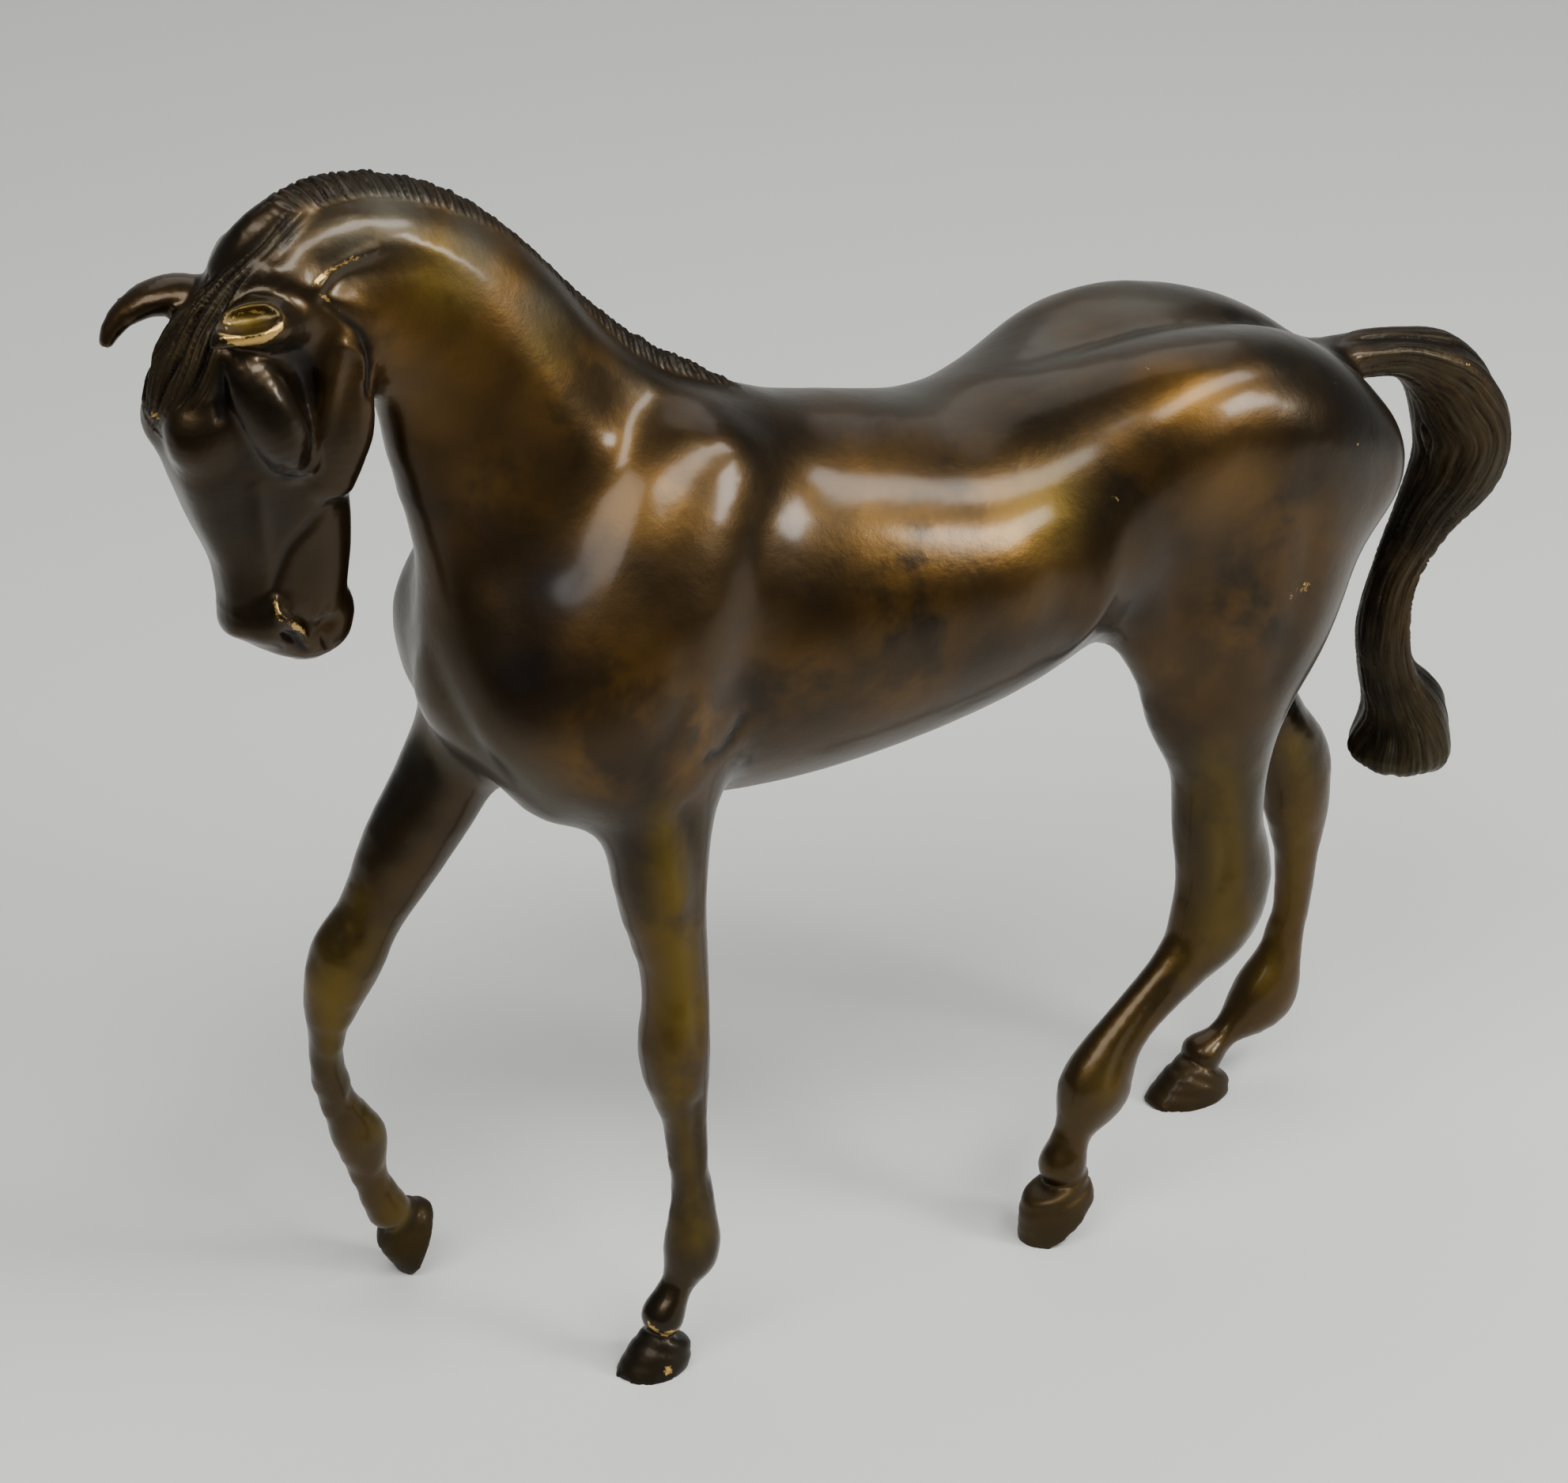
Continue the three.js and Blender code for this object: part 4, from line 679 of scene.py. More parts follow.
# Every mass in the order it is put on, how it joins what stands and over what width, mm.
CLAY = [
    (Sweep(TRUNK), melt, 10),
    (Sweep(NECK), melt, 14),
    (Sweep(CREST), melt, 9),
    (Sweep(HIP, True), melt, 14),
    (Sweep(SHOULDER, True), melt, 14),
    (Sweep(CHEST_MUSCLE, True), melt, 9),
    (Sweep(HEAD, cap=2.6, square=3.4, steps=16), melt, 7),
    *((Sweep(leg), melt, 8) for leg in (NEAR_FORE, FAR_FORE, NEAR_HIND, FAR_HIND)),
    (TAIL_MASS, melt, 3),
    (Sweep(CHEEK, True, square=2.6), melt, 3),
    (Sweep(EYE, True), melt, 2.5),
    (MANE_MASS, melt, 1.6),
    (FORELOCK_MASS, melt, 1.6),
    (Sweep(FAR_EAR), melt, 2.5),
    (Sweep(NEAR_EAR), melt, 2.5),
    (Sweep(FOREARM_POINT), melt, 6),
    (Ball([-148.2, 6.4, 229.5], [6, 5, 6.4], True), melt, 4),
    (Ball([-134.5, 5.2, 188], [5, 3.2, 5], True), melt, 2.5),
    (Sweep(LIPS), melt, 3),
    (Ball([-119.6, 0, 185.5], [4, 4.6, 5]), melt, 3),
    (Ball([-141.5, -17, 254.5], [6.6, 3.6, 2.6]), dig, 1),
    (Ball([-150, 16, 249], [6, 3, 2.2]), dig, 1),
    *((hoof, melt, 1.6) for hoof in HOOVES),
]


def field_block(pts):
    """The clay's skin function over points that lie together: below 0 is inside."""
    lo, hi = pts.min(0), pts.max(0)
    centre, radius = (lo + hi) / 2, np.linalg.norm(hi - lo) / 2
    f = np.full(len(pts), 1e3)
    for mass, join, blend in CLAY:
        pick = mass.near(centre, radius)
        if len(pick):
            f = join(f, mass.reach(pts, pick), blend)
    at, reach, depth = GROIN
    e = [((pts[:, i] - at[i]) / reach[i]) ** 2 for i in range(3)]
    return f + depth * np.exp(-(e[0] + e[1] + e[2]))


def field(pts):
    """The skin function over any points, worked cube by cube."""
    key = np.floor(pts / BLOCK).astype(np.int64) + KEY_SIDE // 4
    key = (key[:, 0] * KEY_SIDE + key[:, 1]) * KEY_SIDE + key[:, 2]
    order = np.argsort(key, kind="stable")
    cuts = np.flatnonzero(np.diff(key[order])) + 1
    groups = np.split(order, cuts)
    out = np.empty(len(pts))

    def work(group):
        for i in range(0, len(group), CHUNK):
            part = group[i:i + CHUNK]
            out[part] = field_block(pts[part])

    with ThreadPoolExecutor(THREADS) as pool:
        list(pool.map(work, groups))
    return out


CORNERS = np.array([[c & 1, (c >> 1) & 1, c >> 2] for c in range(8)])
CELL_EDGES = [(a, a | bit) for a in range(8) for bit in (1, 2, 4) if not a & bit]


def at_corner(grid, corner):
    """The grid seen from one corner of each of its cells."""
    i, j, k = corner
    ni, nj, nk = grid.shape
    return grid[i:ni - 1 + i, j:nj - 1 + j, k:nk - 1 + k]


def hangs(mask):
    """Whether the marked corners of a cell hang together along its edges."""
    if not mask:
        return True
    reached = mask & -mask
    for _ in range(8):
        for a, b in CELL_EDGES:
            pair = (1 << a) | (1 << b)
            if mask & pair == pair and reached & pair:
                reached |= pair
    return reached == mask


def sample(cell):
    """The skin function over a grid, exact near the skin and rough elsewhere."""
    lo, hi = np.array(ROOM)
    n = (np.ceil((hi - lo) / cell / COARSE).astype(int)) * COARSE + 1
    grids = np.stack(np.meshgrid(*[np.arange(0, m, COARSE) for m in n], indexing="ij"), -1)
    coarse = field(lo + grids.reshape(-1, 3) * cell).reshape(grids.shape[:3])
    near = np.full([m - 1 for m in coarse.shape], FAR)
    for c in CORNERS:
        near = np.minimum(near, np.abs(at_corner(coarse, c)))
    fine = near < CLOSE * COARSE * cell
    val = coarse
    for axis in range(3):
        fine = fine.repeat(COARSE, axis)
        val = val.repeat(COARSE, axis)
        middle = np.arange(n[axis]) + COARSE // 2
        val = np.take(val, np.clip(middle, 0, val.shape[axis] - 1), axis)
    wanted = np.zeros(n, bool)
    for c in CORNERS:
        part = at_corner(wanted, c)
        part |= fine
    val[wanted] = field(lo + np.argwhere(wanted) * cell)
    return lo, val


def untangle(val):
    """Fill the cells through which the skin would pass twice, and mark the inner corners of all."""
    plain = np.array([hangs(m) and hangs(255 - m) for m in range(256)])
    for _ in range(UNTANGLE_ROUNDS):
        inside = val < 0
        mask = np.zeros([m - 1 for m in val.shape], int)
        for bit, c in enumerate(CORNERS):
            mask |= at_corner(inside, c).astype(int) << bit
        odd = np.argwhere(~plain[mask])
        if not len(odd):
            break
        for cell in odd:
            spots = [tuple(cell + c) for c in CORNERS]
            outer = [s for s in spots if val[s] >= 0]
            if outer:
                pick = min(outer, key=lambda s: val[s])
                val[pick] = -max(val[pick], 1e-3)
    return mask


def trace_skin(cell):
    """The skin traced over a grid: one point in every cell it passes, faces across grid edges."""
    lo, val = sample(cell)
    mask = untangle(val)
    cells = np.argwhere((mask > 0) & (mask < 255))
    v = np.stack([val[tuple((cells + c).T)] for c in CORNERS], 1)
    total = np.zeros((len(cells), 3))
    count = np.zeros(len(cells))
    for a, b in CELL_EDGES:
        cross = (v[:, a] < 0) != (v[:, b] < 0)
        t = np.where(cross, v[:, a] / np.where(cross, v[:, a] - v[:, b], 1), 0)
        total += np.where(cross[:, None], CORNERS[a] + (CORNERS[b] - CORNERS[a]) * t[:, None], 0)
        count += cross
    points = lo + (cells + total / count[:, None]) * cell
    number = np.full(val.shape, -1)
    number[tuple(cells.T)] = np.arange(len(cells))
    inside = val < 0
    faces = []
    for axis in range(3):
        p, q = np.eye(3, dtype=int)[(axis + 1) % 3], np.eye(3, dtype=int)[(axis + 2) % 3]
        change = inside != np.roll(inside, -1, axis)
        here = np.argwhere(change[1:-1, 1:-1, 1:-1]) + 1
        quad = np.stack([number[tuple((here - s).T)] for s in (0 * p, p, p + q, q)], 1)
        flip = ~inside[tuple(here.T)]
        quad[flip] = quad[flip][:, ::-1]
        faces.append(quad)
    quads = np.concatenate(faces)
    first, second = (np.linalg.norm(points[quads[:, i]] - points[quads[:, i + 2]], axis=1) for i in (0, 1))
    quads[first > second] = np.roll(quads[first > second], 1, axis=1)
    return points, np.concatenate([quads[:, [0, 1, 2]], quads[:, [0, 2, 3]]])


def normals(points, faces):
    a, b, c = (points[faces[:, i]] for i in range(3))
    fn = np.cross(b - a, c - a)
    out = np.zeros_like(points)
    for i in range(3):
        for j in range(3):
            out[:, j] += np.bincount(faces[:, i], fn[:, j], len(points))
    return out / (np.linalg.norm(out, axis=1, keepdims=True) + 1e-12)


def settle(points, rounds):
    """Pull every point onto the skin along the slope of the field."""
    for _ in range(rounds):
        f = field(points)
        g = np.stack([(field(points + PROBE * axis) - f) / PROBE for axis in np.eye(3)], 1)
        g2 = np.maximum((g * g).sum(1), 0.2)
        points = points - g * (np.clip(f, -1, 1) / g2)[:, None] * 0.95
    return points


# How a face is cut when 1, 2 or 3 of its edges are halved: 0 to 2 are its corners and 3 to 5 the
# middles of the edges that follow them.
CUTS = {
    1: ([0, 3, 2], [3, 1, 2]),
    2: ([3, 1, 4], [0, 3, 4], [0, 4, 2]),
    3: ([0, 3, 5], [3, 1, 4], [5, 4, 2], [3, 4, 5]),
}


def refine(points, faces, wanted):
    """Halve every edge that is longer than the length wanted at its middle."""
    edges = np.sort(faces[:, [0, 1, 1, 2, 2, 0]].reshape(-1, 2), axis=1)
    key = edges[:, 0] * len(points) + edges[:, 1]
    uniq, inverse = np.unique(key, return_inverse=True)
    a, b = points[uniq // len(points)], points[uniq % len(points)]
    mid = (a + b) / 2
    split = np.linalg.norm(a - b, axis=1) > wanted(mid)
    number = np.full(len(uniq), -1)
    number[split] = len(points) + np.arange(split.sum())
    new = number[inverse.reshape(-1, 3)]
    marks = new >= 0
    count = marks.sum(1)
    out = [faces[count == 0]]
    for want, tris in CUTS.items():
        f, m, k = faces[count == want], new[count == want], marks[count == want]
        # turn each face so that its first edge is cut, and with two cuts its third is whole
        turn = {1: k.argmax(1), 2: (k.argmin(1) + 1) % 3, 3: np.zeros(len(f), int)}[want]
        at = (turn[:, None] + np.arange(3)) % 3
        six = np.concatenate([np.take_along_axis(f, at, 1), np.take_along_axis(m, at, 1)], 1)
        out += [six[:, tri] for tri in tris]
    return np.concatenate([points, mid[split]]), np.concatenate(out)


def polish(points, faces, share, rounds):
    """Rub out ripples that are shorter than about 8 mm, without shrinking the form."""
    a, b = faces.ravel(), faces[:, [1, 2, 0]].ravel()
    count = np.bincount(a, minlength=len(points))
    for _ in range(rounds):
        for step in RUB:
            mean = np.stack([np.bincount(a, points[b, j], len(points)) for j in range(3)], 1)
            mean /= count[:, None]
            points = points + (mean - points) * (step * share)[:, None]
    return points


def follow(points, path):
    """Squared distance from a path over its half width, and the path's last value there."""
    rows = smooth_rows(path, PATH_STEPS)
    best = np.full(len(points), FAR)
    value = np.zeros(len(points))
    for a, b in zip(rows[:-1], rows[1:]):
        run = b[:3] - a[:3]
        d = points - a[:3]
        t = np.clip(d @ run / (run @ run), 0, 1)
        gap = np.linalg.norm(d - t[:, None] * run, axis=1)
        e = (gap / (a[3] + (b[3] - a[3]) * t)) ** 2
        value = np.where(e < best, a[4] + (b[4] - a[4]) * t, value)
        best = np.minimum(e, best)
    return best, value


def within(points, lo, hi):
    return np.flatnonzero(((points > lo) & (points < hi)).all(1))


def beside(points, path):
    """The points close enough to a path to be touched by it."""
    rows = np.array(path, float)
    pad = rows[:, 3].max() * PATH_PAD
    return within(points, rows[:, :3].min(0) - pad, rows[:, :3].max(0) + pad)


def wobble(t, seed, scale=1.0, waves=4):
    """A gentle wandering value between -1 and 1 along t: waves, each shorter and lower than the last."""
    rng = np.random.default_rng(seed)
    pace, phase = rng.uniform(0.7, 1.4, waves), rng.uniform(0, 6.28, waves)
    total = sum(np.sin(t * scale * pace[i] * (1.7 ** i) + phase[i]) / (1.5 ** i) for i in range(waves))
    return total / 2.3


def grooves(phase, width):
    """A comb of grooves: 1 in the bed of each and 0 between them, one to each half turn of the phase."""
    return bell(np.abs(np.sin(phase)) / width)


class Chisel:
    """Heights raised (or cut, below zero) on the skin, and the combing of the hair."""

    def __init__(self, points):
        self.p = points
        self.h, self.fine, self.hair, self.comb, self.along = np.zeros((5, len(points)))

    def stroke(self, path, sides=(1,)):
        """A ridge or groove along a path of [x, y, z, half width, height] rows."""
        for side in sides:
            rows = np.array(path, float) * [1, side, 1, 1, 1]
            pick = beside(self.p, rows)
            if not len(pick):
                continue
            e, height = follow(self.p[pick], rows)
            rise = height * np.exp(-e)
            self.h[pick] += rise
            if rows[:, 3].max() < FINE_STROKE:
                self.fine[pick] += rise

    def hair_of(self, mass, box):
        """The points about a mass of hair, what the mass reads there, and the gap to it."""
        pick = within(self.p, *np.array(box))
        p = self.p[pick]
        return pick, p, mass.read(p), mass.gap(p)

    def strands(self, pick, on, height, comb, along):
        """Locks of hair: their height, and where each point lies across and along them."""
        self.h[pick] += on * height
        self.fine[pick] += on * height
        best = on > self.hair[pick]
        self.comb[pick[best]] = comb[best]
        self.along[pick[best]] = along[best]
        self.hair[pick] = np.maximum(self.hair[pick], on)


def carve_mane(work, sizes):
    """Short leaning cuts of uneven depth down the hogged mane."""
    pick, p, (run, side, _), gap = work.hair_of(MANE_MASS, MANE_BOX)
    on = (1 - smoothstep(*LOCK_FADE, gap)) * smoothstep(-2, 8, run) * smoothstep(*MANE_END, p[:, 0])
    lean = run + MANE_LEAN * np.abs(side) + 0.5 * wobble(run, seed=3, scale=0.25)
    deep = 0.62 + 0.38 * wobble(run, seed=5, scale=0.9)
    height = sizes.mane_depth * deep * (0.35 - grooves(lean * math.pi / sizes.mane_pitch, width=0.42))
    work.strands(pick, on, height, lean, side * 5)


def carve_forelock(work, sizes):
    """Long locks that leave the poll as a tress and fan out over the forehead."""
    pick, _, (run, side, _), gap = work.hair_of(FORELOCK_MASS, FORELOCK_BOX)
    on = (1 - smoothstep(*LOCK_FADE, gap)) * smoothstep(0, 7, run)
    drift = side + 0.10 * wobble(run, seed=11, scale=0.16) + 0.06 * np.sin(run * 0.2 + side * 3)
    wide = grooves((drift * 2.6 + 0.3 * wobble(run, seed=15, scale=0.1)) * math.pi / 2, width=0.3)
    narrow = grooves(drift * sizes.forelock_locks * math.pi / 2, width=0.5)
    spread = 0.45 + 0.55 * smoothstep(12, 26, run)
    height = spread * (0.5 - 1.3 * wide - 0.6 * narrow)
    work.strands(pick, on, height, drift * 7, run)


def carve_tail(work, sizes):
    """Fine locks down the tail, with a sharp ridge between its inner and its outer face."""
    pick, _, (run, side, front), gap = work.hair_of(TAIL_MASS, TAIL_BOX)
    on = (1 - smoothstep(*TAIL_FADE, gap)) * smoothstep(4, 16, run)
    turn = np.abs(np.arctan2(side, front))
    swirl = turn + 0.12 * np.sin(run * 0.07) + 0.10 * wobble(run, seed=21, scale=0.11)
    locks = grooves(swirl * 4.5 + 0.4 * wobble(run, seed=23, scale=0.08), width=0.36)
    hairs = np.abs(np.sin(swirl * 15 + 0.9 * wobble(run, seed=27, scale=0.13)))
    deep = 0.6 + 0.4 * wobble(swirl * 3, seed=29)
    ridge = 0.9 * bell((swirl - RIDGE_AT) / 0.22) - 0.8 * bell((swirl - TROUGH_AT) / 0.34)
    combed = deep * (0.3 - locks) + 0.34 * (hairs - 0.6)
    work.strands(pick, on, sizes.tail_depth * combed + ridge, swirl * 9, run)


def carve_hooves(work):
    """A raised coronet round the top of each hoof and faint rings down its wall."""
    for hoof in HOOVES:
        pick = within(work.p, hoof.mid[0] - HOOF_ROOM, hoof.mid[0] + HOOF_ROOM)
        if not len(pick):
            continue
        p = work.p[pick]
        front, _, up = hoof.local(p)
        crown = hoof.above_crown(front, up)
        on = 1 - smoothstep(0.6, 2.2, hoof.reach(p, None))
        work.h[pick] += on * (0.55 * bell(crown / 1.0) - 0.35 * bell((crown + 2) / 0.8)
                              + 0.06 * np.sin(up * 2.6) * smoothstep(-2, -4, crown))
        work.hair[pick] = np.maximum(work.hair[pick], 0.7 * on * smoothstep(1.5, 0, crown))


def carve(points, sizes):
    work = Chisel(points)
    for path in BOTH_SIDES.values():
        work.stroke(path, sides=(1, -1))
    for path in NEAR_SIDE.values():
        work.stroke(path)
    carve_mane(work, sizes)
    carve_forelock(work, sizes)
    carve_tail(work, sizes)
    carve_hooves(work)
    return work


def softness(points):
    """How much of the polishing each place takes: all on the body, little on fine features."""
    x, _, z = points.T    # the ramps below run from where a feature starts to where it is full
    head = smoothstep(-110, -122, x) * smoothstep(170, 182, z)
    tail = 0.7 * smoothstep(118, 130, x) * smoothstep(112, 120, z) * (1 - head)
    feet = 0.6 * smoothstep(26, 18, z)
    return np.clip(1 - 0.7 * head - tail - feet, 0.08, 1)


def longest_edge(mid):
    """Longest edge wanted at each place, mm: short where the carving is fine."""
    x, y, z = mid.T
    mane = (z > 214 - (x + 40) * 0.62) & (np.abs(y) < 8) & (x < -28)
    forelock = (x < -122) & (z > 228) & (y < 10)
    places = [
        (z < LEG_TOP, LEG_EDGE),
        (z < FOOT_TOP, FOOT_EDGE),
        ((x > TAIL_FROM[0]) & (z > TAIL_FROM[1]), TAIL_HAIR_EDGE),
        ((x < FACE_FROM[0]) & (z > FACE_FROM[1]), FACE_EDGE),
        (mane & (MANE_MASS.gap(mid) < HAIR_GAP), HAIR_EDGE),
        (forelock & (FORELOCK_MASS.gap(mid) < HAIR_GAP), HAIR_EDGE),
    ]
    length = np.full(len(mid), BODY_EDGE)
    for there, edge in places:
        length[there] = edge
    return length


def cast_skin(sizes):
    """The finished skin of the horse in the modelling frame: its points, faces and carving."""
    points, faces = trace_skin(sizes.cell)
    points = settle(points, 1)
    points = polish(points, faces, softness(points), sizes.polish)
    for _ in range(REFINE_ROUNDS):
        points, faces = refine(points, faces, longest_edge)
    soft = softness(points)
    crisp = np.flatnonzero(soft < 0.95)
    hold = soft[crisp][:, None]
    points[crisp] = points[crisp] * hold + settle(points[crisp], 1) * (1 - hold)
    points = polish(points, faces, np.full(len(points), 0.6), 5)
    across = normals(points, faces)
    work = carve(points, sizes)
    points = points + across * work.h[:, None]
    points[:, 2] = np.maximum(points[:, 2], SOLE_CUT)
    return points, faces, work


def patches(points, spots):
    """A soft mask from [x, y, z, reach, strength] spots."""
    out = np.zeros(len(points))
    for x, y, z, reach, strength in spots:
        for side in ((1, -1) if abs(y) > MIDDLE else (1,)):
            e = (((points - [x, y * side, z]) / reach) ** 2).sum(1)
            out = np.maximum(out, strength * np.exp(-e))
    return out


def trails(points, paths):
    """A soft mask along paths of [x, y, z, half width, strength] rows."""
    out = np.zeros(len(points))
    for path in paths.values():
        pick = beside(points, path)
        if len(pick):
            e, strength = follow(points[pick], path)
            out[pick] = np.maximum(out[pick], strength * np.exp(-e))
    return out


def weather(points, work):
    """The masks of the patina: where it is thin, rubbed, dull or dark, where sheen, highlight and shade
    are painted, and where hair is combed.
    """
    x, y, z = points.T
    masks = {name: patches(points, spots) for name, spots in PATINA.items()}
    leg = smoothstep(140, 125, z) * smoothstep(9, 13, np.abs(y))
    mane = np.abs(x + 70) < 60
    more = [
        ("brass", trails(points, RUBBED)),
        ("brass", 0.26 * smoothstep(0.25, 0.6, work.fine)),  # the tops of fine carving
        # a painted highlight down the fronts of the legs
        ("olive", trails(points, LEG_HIGHLIGHTS)),
        ("olive", 0.12 * smoothstep(128, 96, z)),  # a breath of it down all four legs
        ("dark_patina_and_shade", (0.85 - 0.75 * leg) * smoothstep(-0.12, -0.6, work.fine)),  # beds of fine cuts
        ("dark_patina_and_shade", 0.75 * work.hair * mane),  # the whole mane darkened
    ]
    for name, mask in more:
        masks[name] = np.maximum(masks[name], mask)
    masks["hair"], masks["comb"], masks["along"] = work.hair, work.comb, work.along
    return masks


class Wire:
    """A shader socket that takes part in Python arithmetic."""

    def __init__(self, tree, socket):
        self.tree, self.socket = tree, socket

    def math(self, kind, *values, clamp=False):
        return self.tree.add("ShaderNodeMath", {"operation": kind, "use_clamp": clamp},
                             dict(enumerate(values)))

    def __add__(self, other):
        return self.math("ADD", self, other)

    def __sub__(self, other):
        return self.math("SUBTRACT", self, other)

    def __rsub__(self, other):
        return self.math("SUBTRACT", other, self)

    def __mul__(self, other):
        return self.math("MULTIPLY", self, other)

    def clip(self):
        return self.math("ADD", self, 0.0, clamp=True)

    __radd__ = __add__
    __rmul__ = __mul__


class Shader:
    """A material's node tree, built from Python."""

    def __init__(self, name):
        self.material = bpy.data.materials.new(name)
        self.material.use_nodes = True
        self.nodes = self.material.node_tree.nodes
        self.links = self.material.node_tree.links
        self.nodes.clear()

    def add(self, kind, settings, values, out=0):
        """A node with its settings, then the values or links of its sockets. Gives one output."""
        node = self.nodes.new(kind)
        for name, value in settings.items():
            setattr(node, name, value)
        for key, value in values.items():
            if isinstance(value, Wire):
                self.links.new(value.socket, node.inputs[key])
            else:
                node.inputs[key].default_value = value
        return Wire(self, node.outputs[out]) if len(node.outputs) else None

    def read(self, name):
        return self.add("ShaderNodeAttribute", {"attribute_name": name}, {}, "Fac")

    def place(self):
        return self.add("ShaderNodeTexCoord", {}, {}, "Object")

    def noise(self, where, scale, detail, rough, twist=0.0):
        return self.add("ShaderNodeTexNoise", {}, {"Vector": where, "Scale": scale, "Detail": detail,
                                                   "Roughness": rough, "Distortion": twist}, "Fac")

    def span(self, value, lo, hi, to_lo=0.0, to_hi=1.0):
        return self.add("ShaderNodeMapRange", {"clamp": True, "interpolation_type": "SMOOTHSTEP"},
                        {"Value": value, "From Min": lo, "From Max": hi, "To Min": to_lo,
                         "To Max": to_hi}, "Result")

    def mix(self, share, a, b):
        return self.add("ShaderNodeMix", {"data_type": "RGBA"},
                        {"Factor": share, "A": a, "B": b}, "Result")

    def finish(self, values):
        """End in a principled surface with these values, and give the material."""
        surface = self.add("ShaderNodeBsdfPrincipled", {}, values, "BSDF")
        self.add("ShaderNodeOutputMaterial", {}, {"Surface": surface})
        return self.material


def colour(value):
    return (*value[:3], 1.0)


def patina(look):
    """Lacquered brown bronze: dark patina in the cuts and painted shade where shade falls, amber where
    thin, painted sheen on the upper planes and a painted highlight down the legs, rubbed to brass on the
    edges.
    """
    s = Shader("bronze_patina")
    where = s.place()
    noise = {name: s.noise(where, *row) for name, row in NOISES.items()}
    speck = noise["speck"]
    broken_patches = {name: s.read(name) * s.span(noise["blotch"], *ramp) for name, ramp in BROKEN_UP.items()}
    amber = (broken_patches["amber"] + s.span(noise["marbling"], 0.5, 0.66) * 0.22).clip()
    olive, painted_sheen = broken_patches["olive"].clip(), broken_patches["painted_sheen"].clip()
    dark_patina_and_shade, hair, rubbed = s.read("dark_patina_and_shade"), s.read("hair"), s.read("brass")
    lock = s.add("ShaderNodeCombineXYZ", {}, {"X": s.read("comb") * 1.1, "Y": s.read("along") * 0.07},
                 "Vector")
    strand = s.noise(lock, 1.0, 3.0, 0.6)
    for name, weight in (("speck", 0.7), ("grain", 0.7), ("blotch", 0.3)):
        rubbed = rubbed + (noise[name] - 0.5) * weight

    tone = s.mix(s.span(noise["cloud"], 0.35, 0.65), colour(look.dark), colour(look.brown))
    layers = [
        (amber, look.amber),
        (olive, look.olive),
        # painted sheen on the upper planes, and more faintly over all the hair
        ((painted_sheen + hair * 0.2).clip(), look.painted_sheen),
        # dark patina in the cuts and painted shade where shade falls
        (dark_patina_and_shade, look.dark_patina_and_shade),
        ((s.span(strand, 0.5, 0.68) * hair * 0.5).clip(), look.painted_sheen),  # painted highlight on the ridges of the strands
        ((s.span(strand, 0.5, 0.3) * hair * 0.75).clip(), look.dark_patina_and_shade),  # and painted shade in the gaps between them
        (s.span(rubbed, 0.46, 0.64), look.brass),
    ]
    for share, tint in layers:
        tone = s.mix(share, tone, colour(tint))

    rough = s.span(noise["cloud"], 0.3, 0.7, look.roughness - 0.05, look.roughness + 0.07)
    for dull, share in ((speck, 0.06), (dark_patina_and_shade, 0.15), (hair, 0.14), (painted_sheen, 0.08), (olive, 0.12)):
        rough = rough + dull * share
    relief = noise["dimple"] * 0.6 + noise["hammer"] * 0.8 + strand * hair * 2.6
    bump = s.add("ShaderNodeBump", {}, {"Strength": 0.2, "Distance": 0.0006, "Height": relief}, "Normal")
    return s.finish({
        "Base Color": tone, "Metallic": look.metal, "Roughness": rough, "Normal": bump,
        "Coat Weight": (0.26 - hair * 0.22 - olive * 0.14).clip(), "Coat Roughness": 0.17, "Coat IOR": 1.5,
    })


def paper(look):
    """The studio paper, dark on the strip before the camera that the bronze would mirror."""
    s = Shader("studio_paper")
    depth = s.add("ShaderNodeSeparateXYZ", {}, {"Vector": s.place()}, "Y")
    tone = s.mix(s.span(depth, *PAPER_FADE, 1.0, 0.0), colour(look.floor), colour(look.shade))
    return s.finish({"Base Color": tone, "Roughness": 0.8})


def put(context, name, data, at=(0, 0, 0), aim=None):
    """An object in the scene, turned toward a point if it has an aim."""
    thing = bpy.data.objects.new(name, data)
    thing.location = at
    if aim is not None:
        thing.rotation_euler = (Vector(aim) - Vector(at)).to_track_quat("-Z", "Y").to_euler()
    context.scene.collection.objects.link(thing)
    return thing


TINT = {"size": 3, "subtype": "COLOR"}


class WalkingHorseSizes(bpy.types.PropertyGroup):
    cell: FloatProperty(name="Tracing pitch", description="Grid pitch of the traced skin, mm",
                        default=2.3, min=0.8, max=4.0)
    mane_pitch: FloatProperty(name="Mane pitch", description="Gap between chisel cuts, mm",
                              default=1.8, min=0.8, max=5.0)
    mane_depth: FloatProperty(name="Mane depth", description="Depth of the mane's cuts, mm",
                              default=1.0, min=0.0, max=2.0)
    polish: IntProperty(name="Polish", description="Rounds of rubbing down the skin", default=22,
                        min=0, max=200)
    forelock_locks: FloatProperty(name="Forelock locks", description="Locks on each half of the forelock",
                                  default=9.0, min=2.0, max=20.0)
    tail_depth: FloatProperty(name="Tail depth", description="Depth between the tail locks, mm",
                              default=0.8, min=0.0, max=2.0)


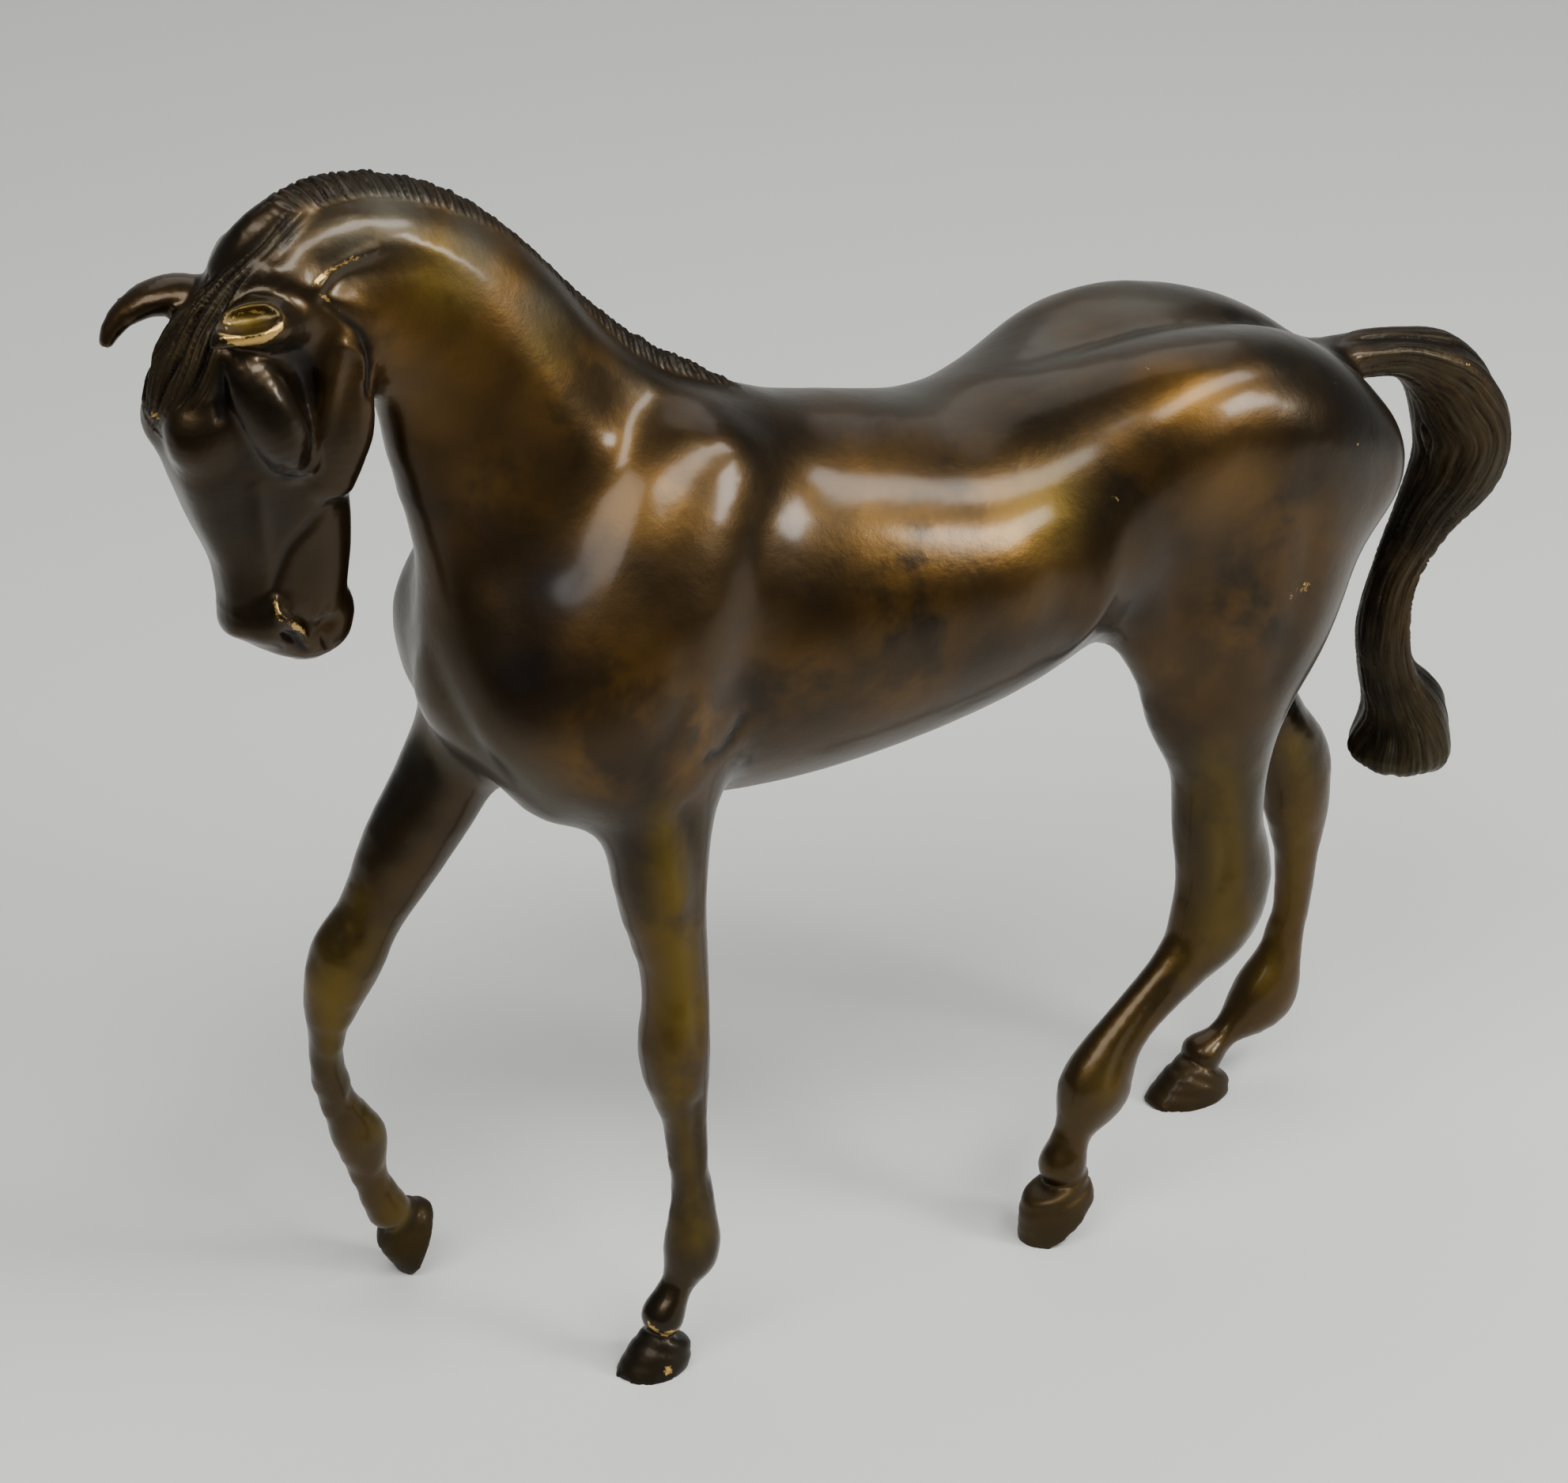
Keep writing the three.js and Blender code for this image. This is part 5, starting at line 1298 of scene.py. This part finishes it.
class WalkingHorseLook(bpy.types.PropertyGroup):
    dark: FloatVectorProperty(name="Dark brown", description="Darkest of the patina",
                              default=(0.017, 0.0115, 0.0055), **TINT)
    brown: FloatVectorProperty(name="Brown", description="Main colour of the patina",
                               default=(0.042, 0.0235, 0.0072), **TINT)
    amber: FloatVectorProperty(name="Amber", description="Thin, warm patina",
                               default=(0.108, 0.054, 0.0095), **TINT)
    # Olive also colours the painted highlight down the fronts of the legs.
    olive: FloatVectorProperty(name="Olive", description="Rubbed, greenish gold patina",
                               default=(0.105, 0.068, 0.009), **TINT)
    # Painted sheen: a grey reflection on the upper planes and on the ridges of the hair.
    painted_sheen: FloatVectorProperty(name="Sheen", description="Grey bloom on the upper planes",
                               default=(0.060, 0.056, 0.040), **TINT)
    # Dark patina in the cuts, and painted shade in creases, at the root of the neck, between the hair
    # strands and on the inner face of the tail.
    dark_patina_and_shade: FloatVectorProperty(name="Hollow", description="Dark wax left in the cuts",
                                default=(0.007, 0.005, 0.004), **TINT)
    brass: FloatVectorProperty(name="Brass", description="Bare metal on rubbed edges",
                               default=(0.50, 0.31, 0.085), **TINT)
    roughness: FloatProperty(name="Roughness", description="Dullness of the metal", default=0.31,
                             min=0.05, max=0.9)
    metal: FloatProperty(name="Metal", description="Share of metal under the lacquer", default=0.95,
                         min=0.0, max=1.0)


class WalkingHorseStage(bpy.types.PropertyGroup):
    floor: FloatVectorProperty(name="Floor", description="Colour of the studio floor",
                               default=(0.56, 0.56, 0.535), **TINT)
    shade: FloatVectorProperty(name="Shade", description="Colour of the floor before the camera",
                               default=(0.09, 0.09, 0.087), **TINT)
    light: FloatProperty(name="Light", description="Strength of the studio lamps", default=1.0,
                         min=0.1, max=5.0)


class WALKINGHORSE_OT_cast(bpy.types.Operator):
    """Cast the horse with its mane, tail and features, and give it its patina"""
    bl_idname = "walking_horse.cast"
    bl_label = "Cast the horse"

    def execute(self, context):
        points, faces, work = cast_skin(context.scene.walking_horse_sizes)
        if not len(faces):
            raise RuntimeError("the skin of the horse has no faces")
        mesh = bpy.data.meshes.new("bronze_horse")
        placed = (points - PLACE) * MM
        mesh.vertices.add(len(placed))
        mesh.vertices.foreach_set("co", placed.astype(np.float32).ravel())
        mesh.loops.add(len(faces) * 3)
        mesh.loops.foreach_set("vertex_index", faces.astype(np.int32).ravel())
        mesh.polygons.add(len(faces))
        mesh.polygons.foreach_set("loop_start", np.arange(0, len(faces) * 3, 3, dtype=np.int32))
        mesh.update()
        mesh.validate()
        mesh.polygons.foreach_set("use_smooth", np.ones(len(mesh.polygons), bool))
        for name, values in weather(points, work).items():
            layer = mesh.attributes.new(name, "FLOAT", "POINT")
            layer.data.foreach_set("value", values.astype(np.float32))
        horse = put(context, "bronze_horse", mesh)
        mesh.materials.append(patina(context.scene.walking_horse_look))
        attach(horse, "root")
        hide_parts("horse")
        return {"FINISHED"}


class WALKINGHORSE_OT_stage(bpy.types.Operator):
    """Lay the pale floor, hang the lamps and stand the camera at the photographer's place"""
    bl_idname = "walking_horse.stage"
    bl_label = "Set the stage"

    def execute(self, context):
        look = context.scene.walking_horse_stage
        mesh = bpy.data.meshes.new("studio_floor")
        bend = [(FLOOR_BACK - BEND + BEND * math.sin(a), BEND - BEND * math.cos(a))
                for a in np.linspace(0, math.pi / 2, BEND_STEPS)]
        profile = [(-FLOOR_FRONT, 0.0), *bend, (FLOOR_BACK, FLOOR_RISE)]
        verts = [(side, y, z) for y, z in profile for side in (-FLOOR_HALF, FLOOR_HALF)]
        faces = [(2 * i, 2 * i + 1, 2 * i + 3, 2 * i + 2) for i in range(len(profile) - 1)]
        mesh.from_pydata(verts, [], faces)
        mesh.polygons.foreach_set("use_smooth", np.ones(len(faces), bool))
        floor = put(context, "studio_floor", mesh)
        floor.rotation_euler = (0, 0, math.radians(PHOTO_AZIMUTH))
        mesh.materials.append(paper(look))

        world = bpy.data.worlds.new("studio")
        world.use_nodes = True
        sky = world.node_tree.nodes["Background"].inputs
        sky["Color"].default_value, sky["Strength"].default_value = SKY
        context.scene.world = world

        for name, at, size, aim, power in LAMPS:
            lamp = bpy.data.lights.new("lamp_" + name, "AREA")
            lamp.shape = "RECTANGLE"
            lamp.size, lamp.size_y = size
            lamp.energy = power * look.light
            put(context, "lamp_" + name, lamp, at, aim)

        camera = bpy.data.cameras.new("camera")
        camera.sensor_width = SENSOR_MM
        camera.lens = FOCAL_PX * SENSOR_MM / IMAGE_WIDTH
        camera.clip_end = CAMERA_REACH
        at, aim = ((Vector(point) - Vector(PLACE)) * MM for point in (CAMERA_AT, CAMERA_AIM))
        context.scene.camera = put(context, "camera", camera, at, aim)
        return {"FINISHED"}


GROUPS = {
    "walking_horse_sizes": WalkingHorseSizes,
    "walking_horse_look": WalkingHorseLook,
    "walking_horse_stage": WalkingHorseStage,
}


class WALKINGHORSE_PT_panel(bpy.types.Panel):
    bl_label = "Walking horse"
    bl_space_type = "VIEW_3D"
    bl_region_type = "UI"
    bl_category = "Bronze"

    def draw(self, context):
        for group in GROUPS:
            owner = getattr(context.scene, group)
            for name in owner.__annotations__:
                self.layout.prop(owner, name)
        self.layout.operator("walking_horse.cast")
        self.layout.operator("walking_horse.stage")


CLASSES = (*GROUPS.values(), WALKINGHORSE_OT_cast, WALKINGHORSE_OT_stage, WALKINGHORSE_PT_panel)


def register():
    for kind in CLASSES:
        bpy.utils.register_class(kind)
    for name, group in GROUPS.items():
        setattr(bpy.types.Scene, name, PointerProperty(type=group))


def unregister():
    for name in GROUPS:
        delattr(bpy.types.Scene, name)
    for kind in reversed(CLASSES):
        bpy.utils.unregister_class(kind)


def main():
    register()
    bpy.ops.walking_horse.cast()
    bpy.ops.walking_horse.stage()


if __name__ == "__main__":
    main()
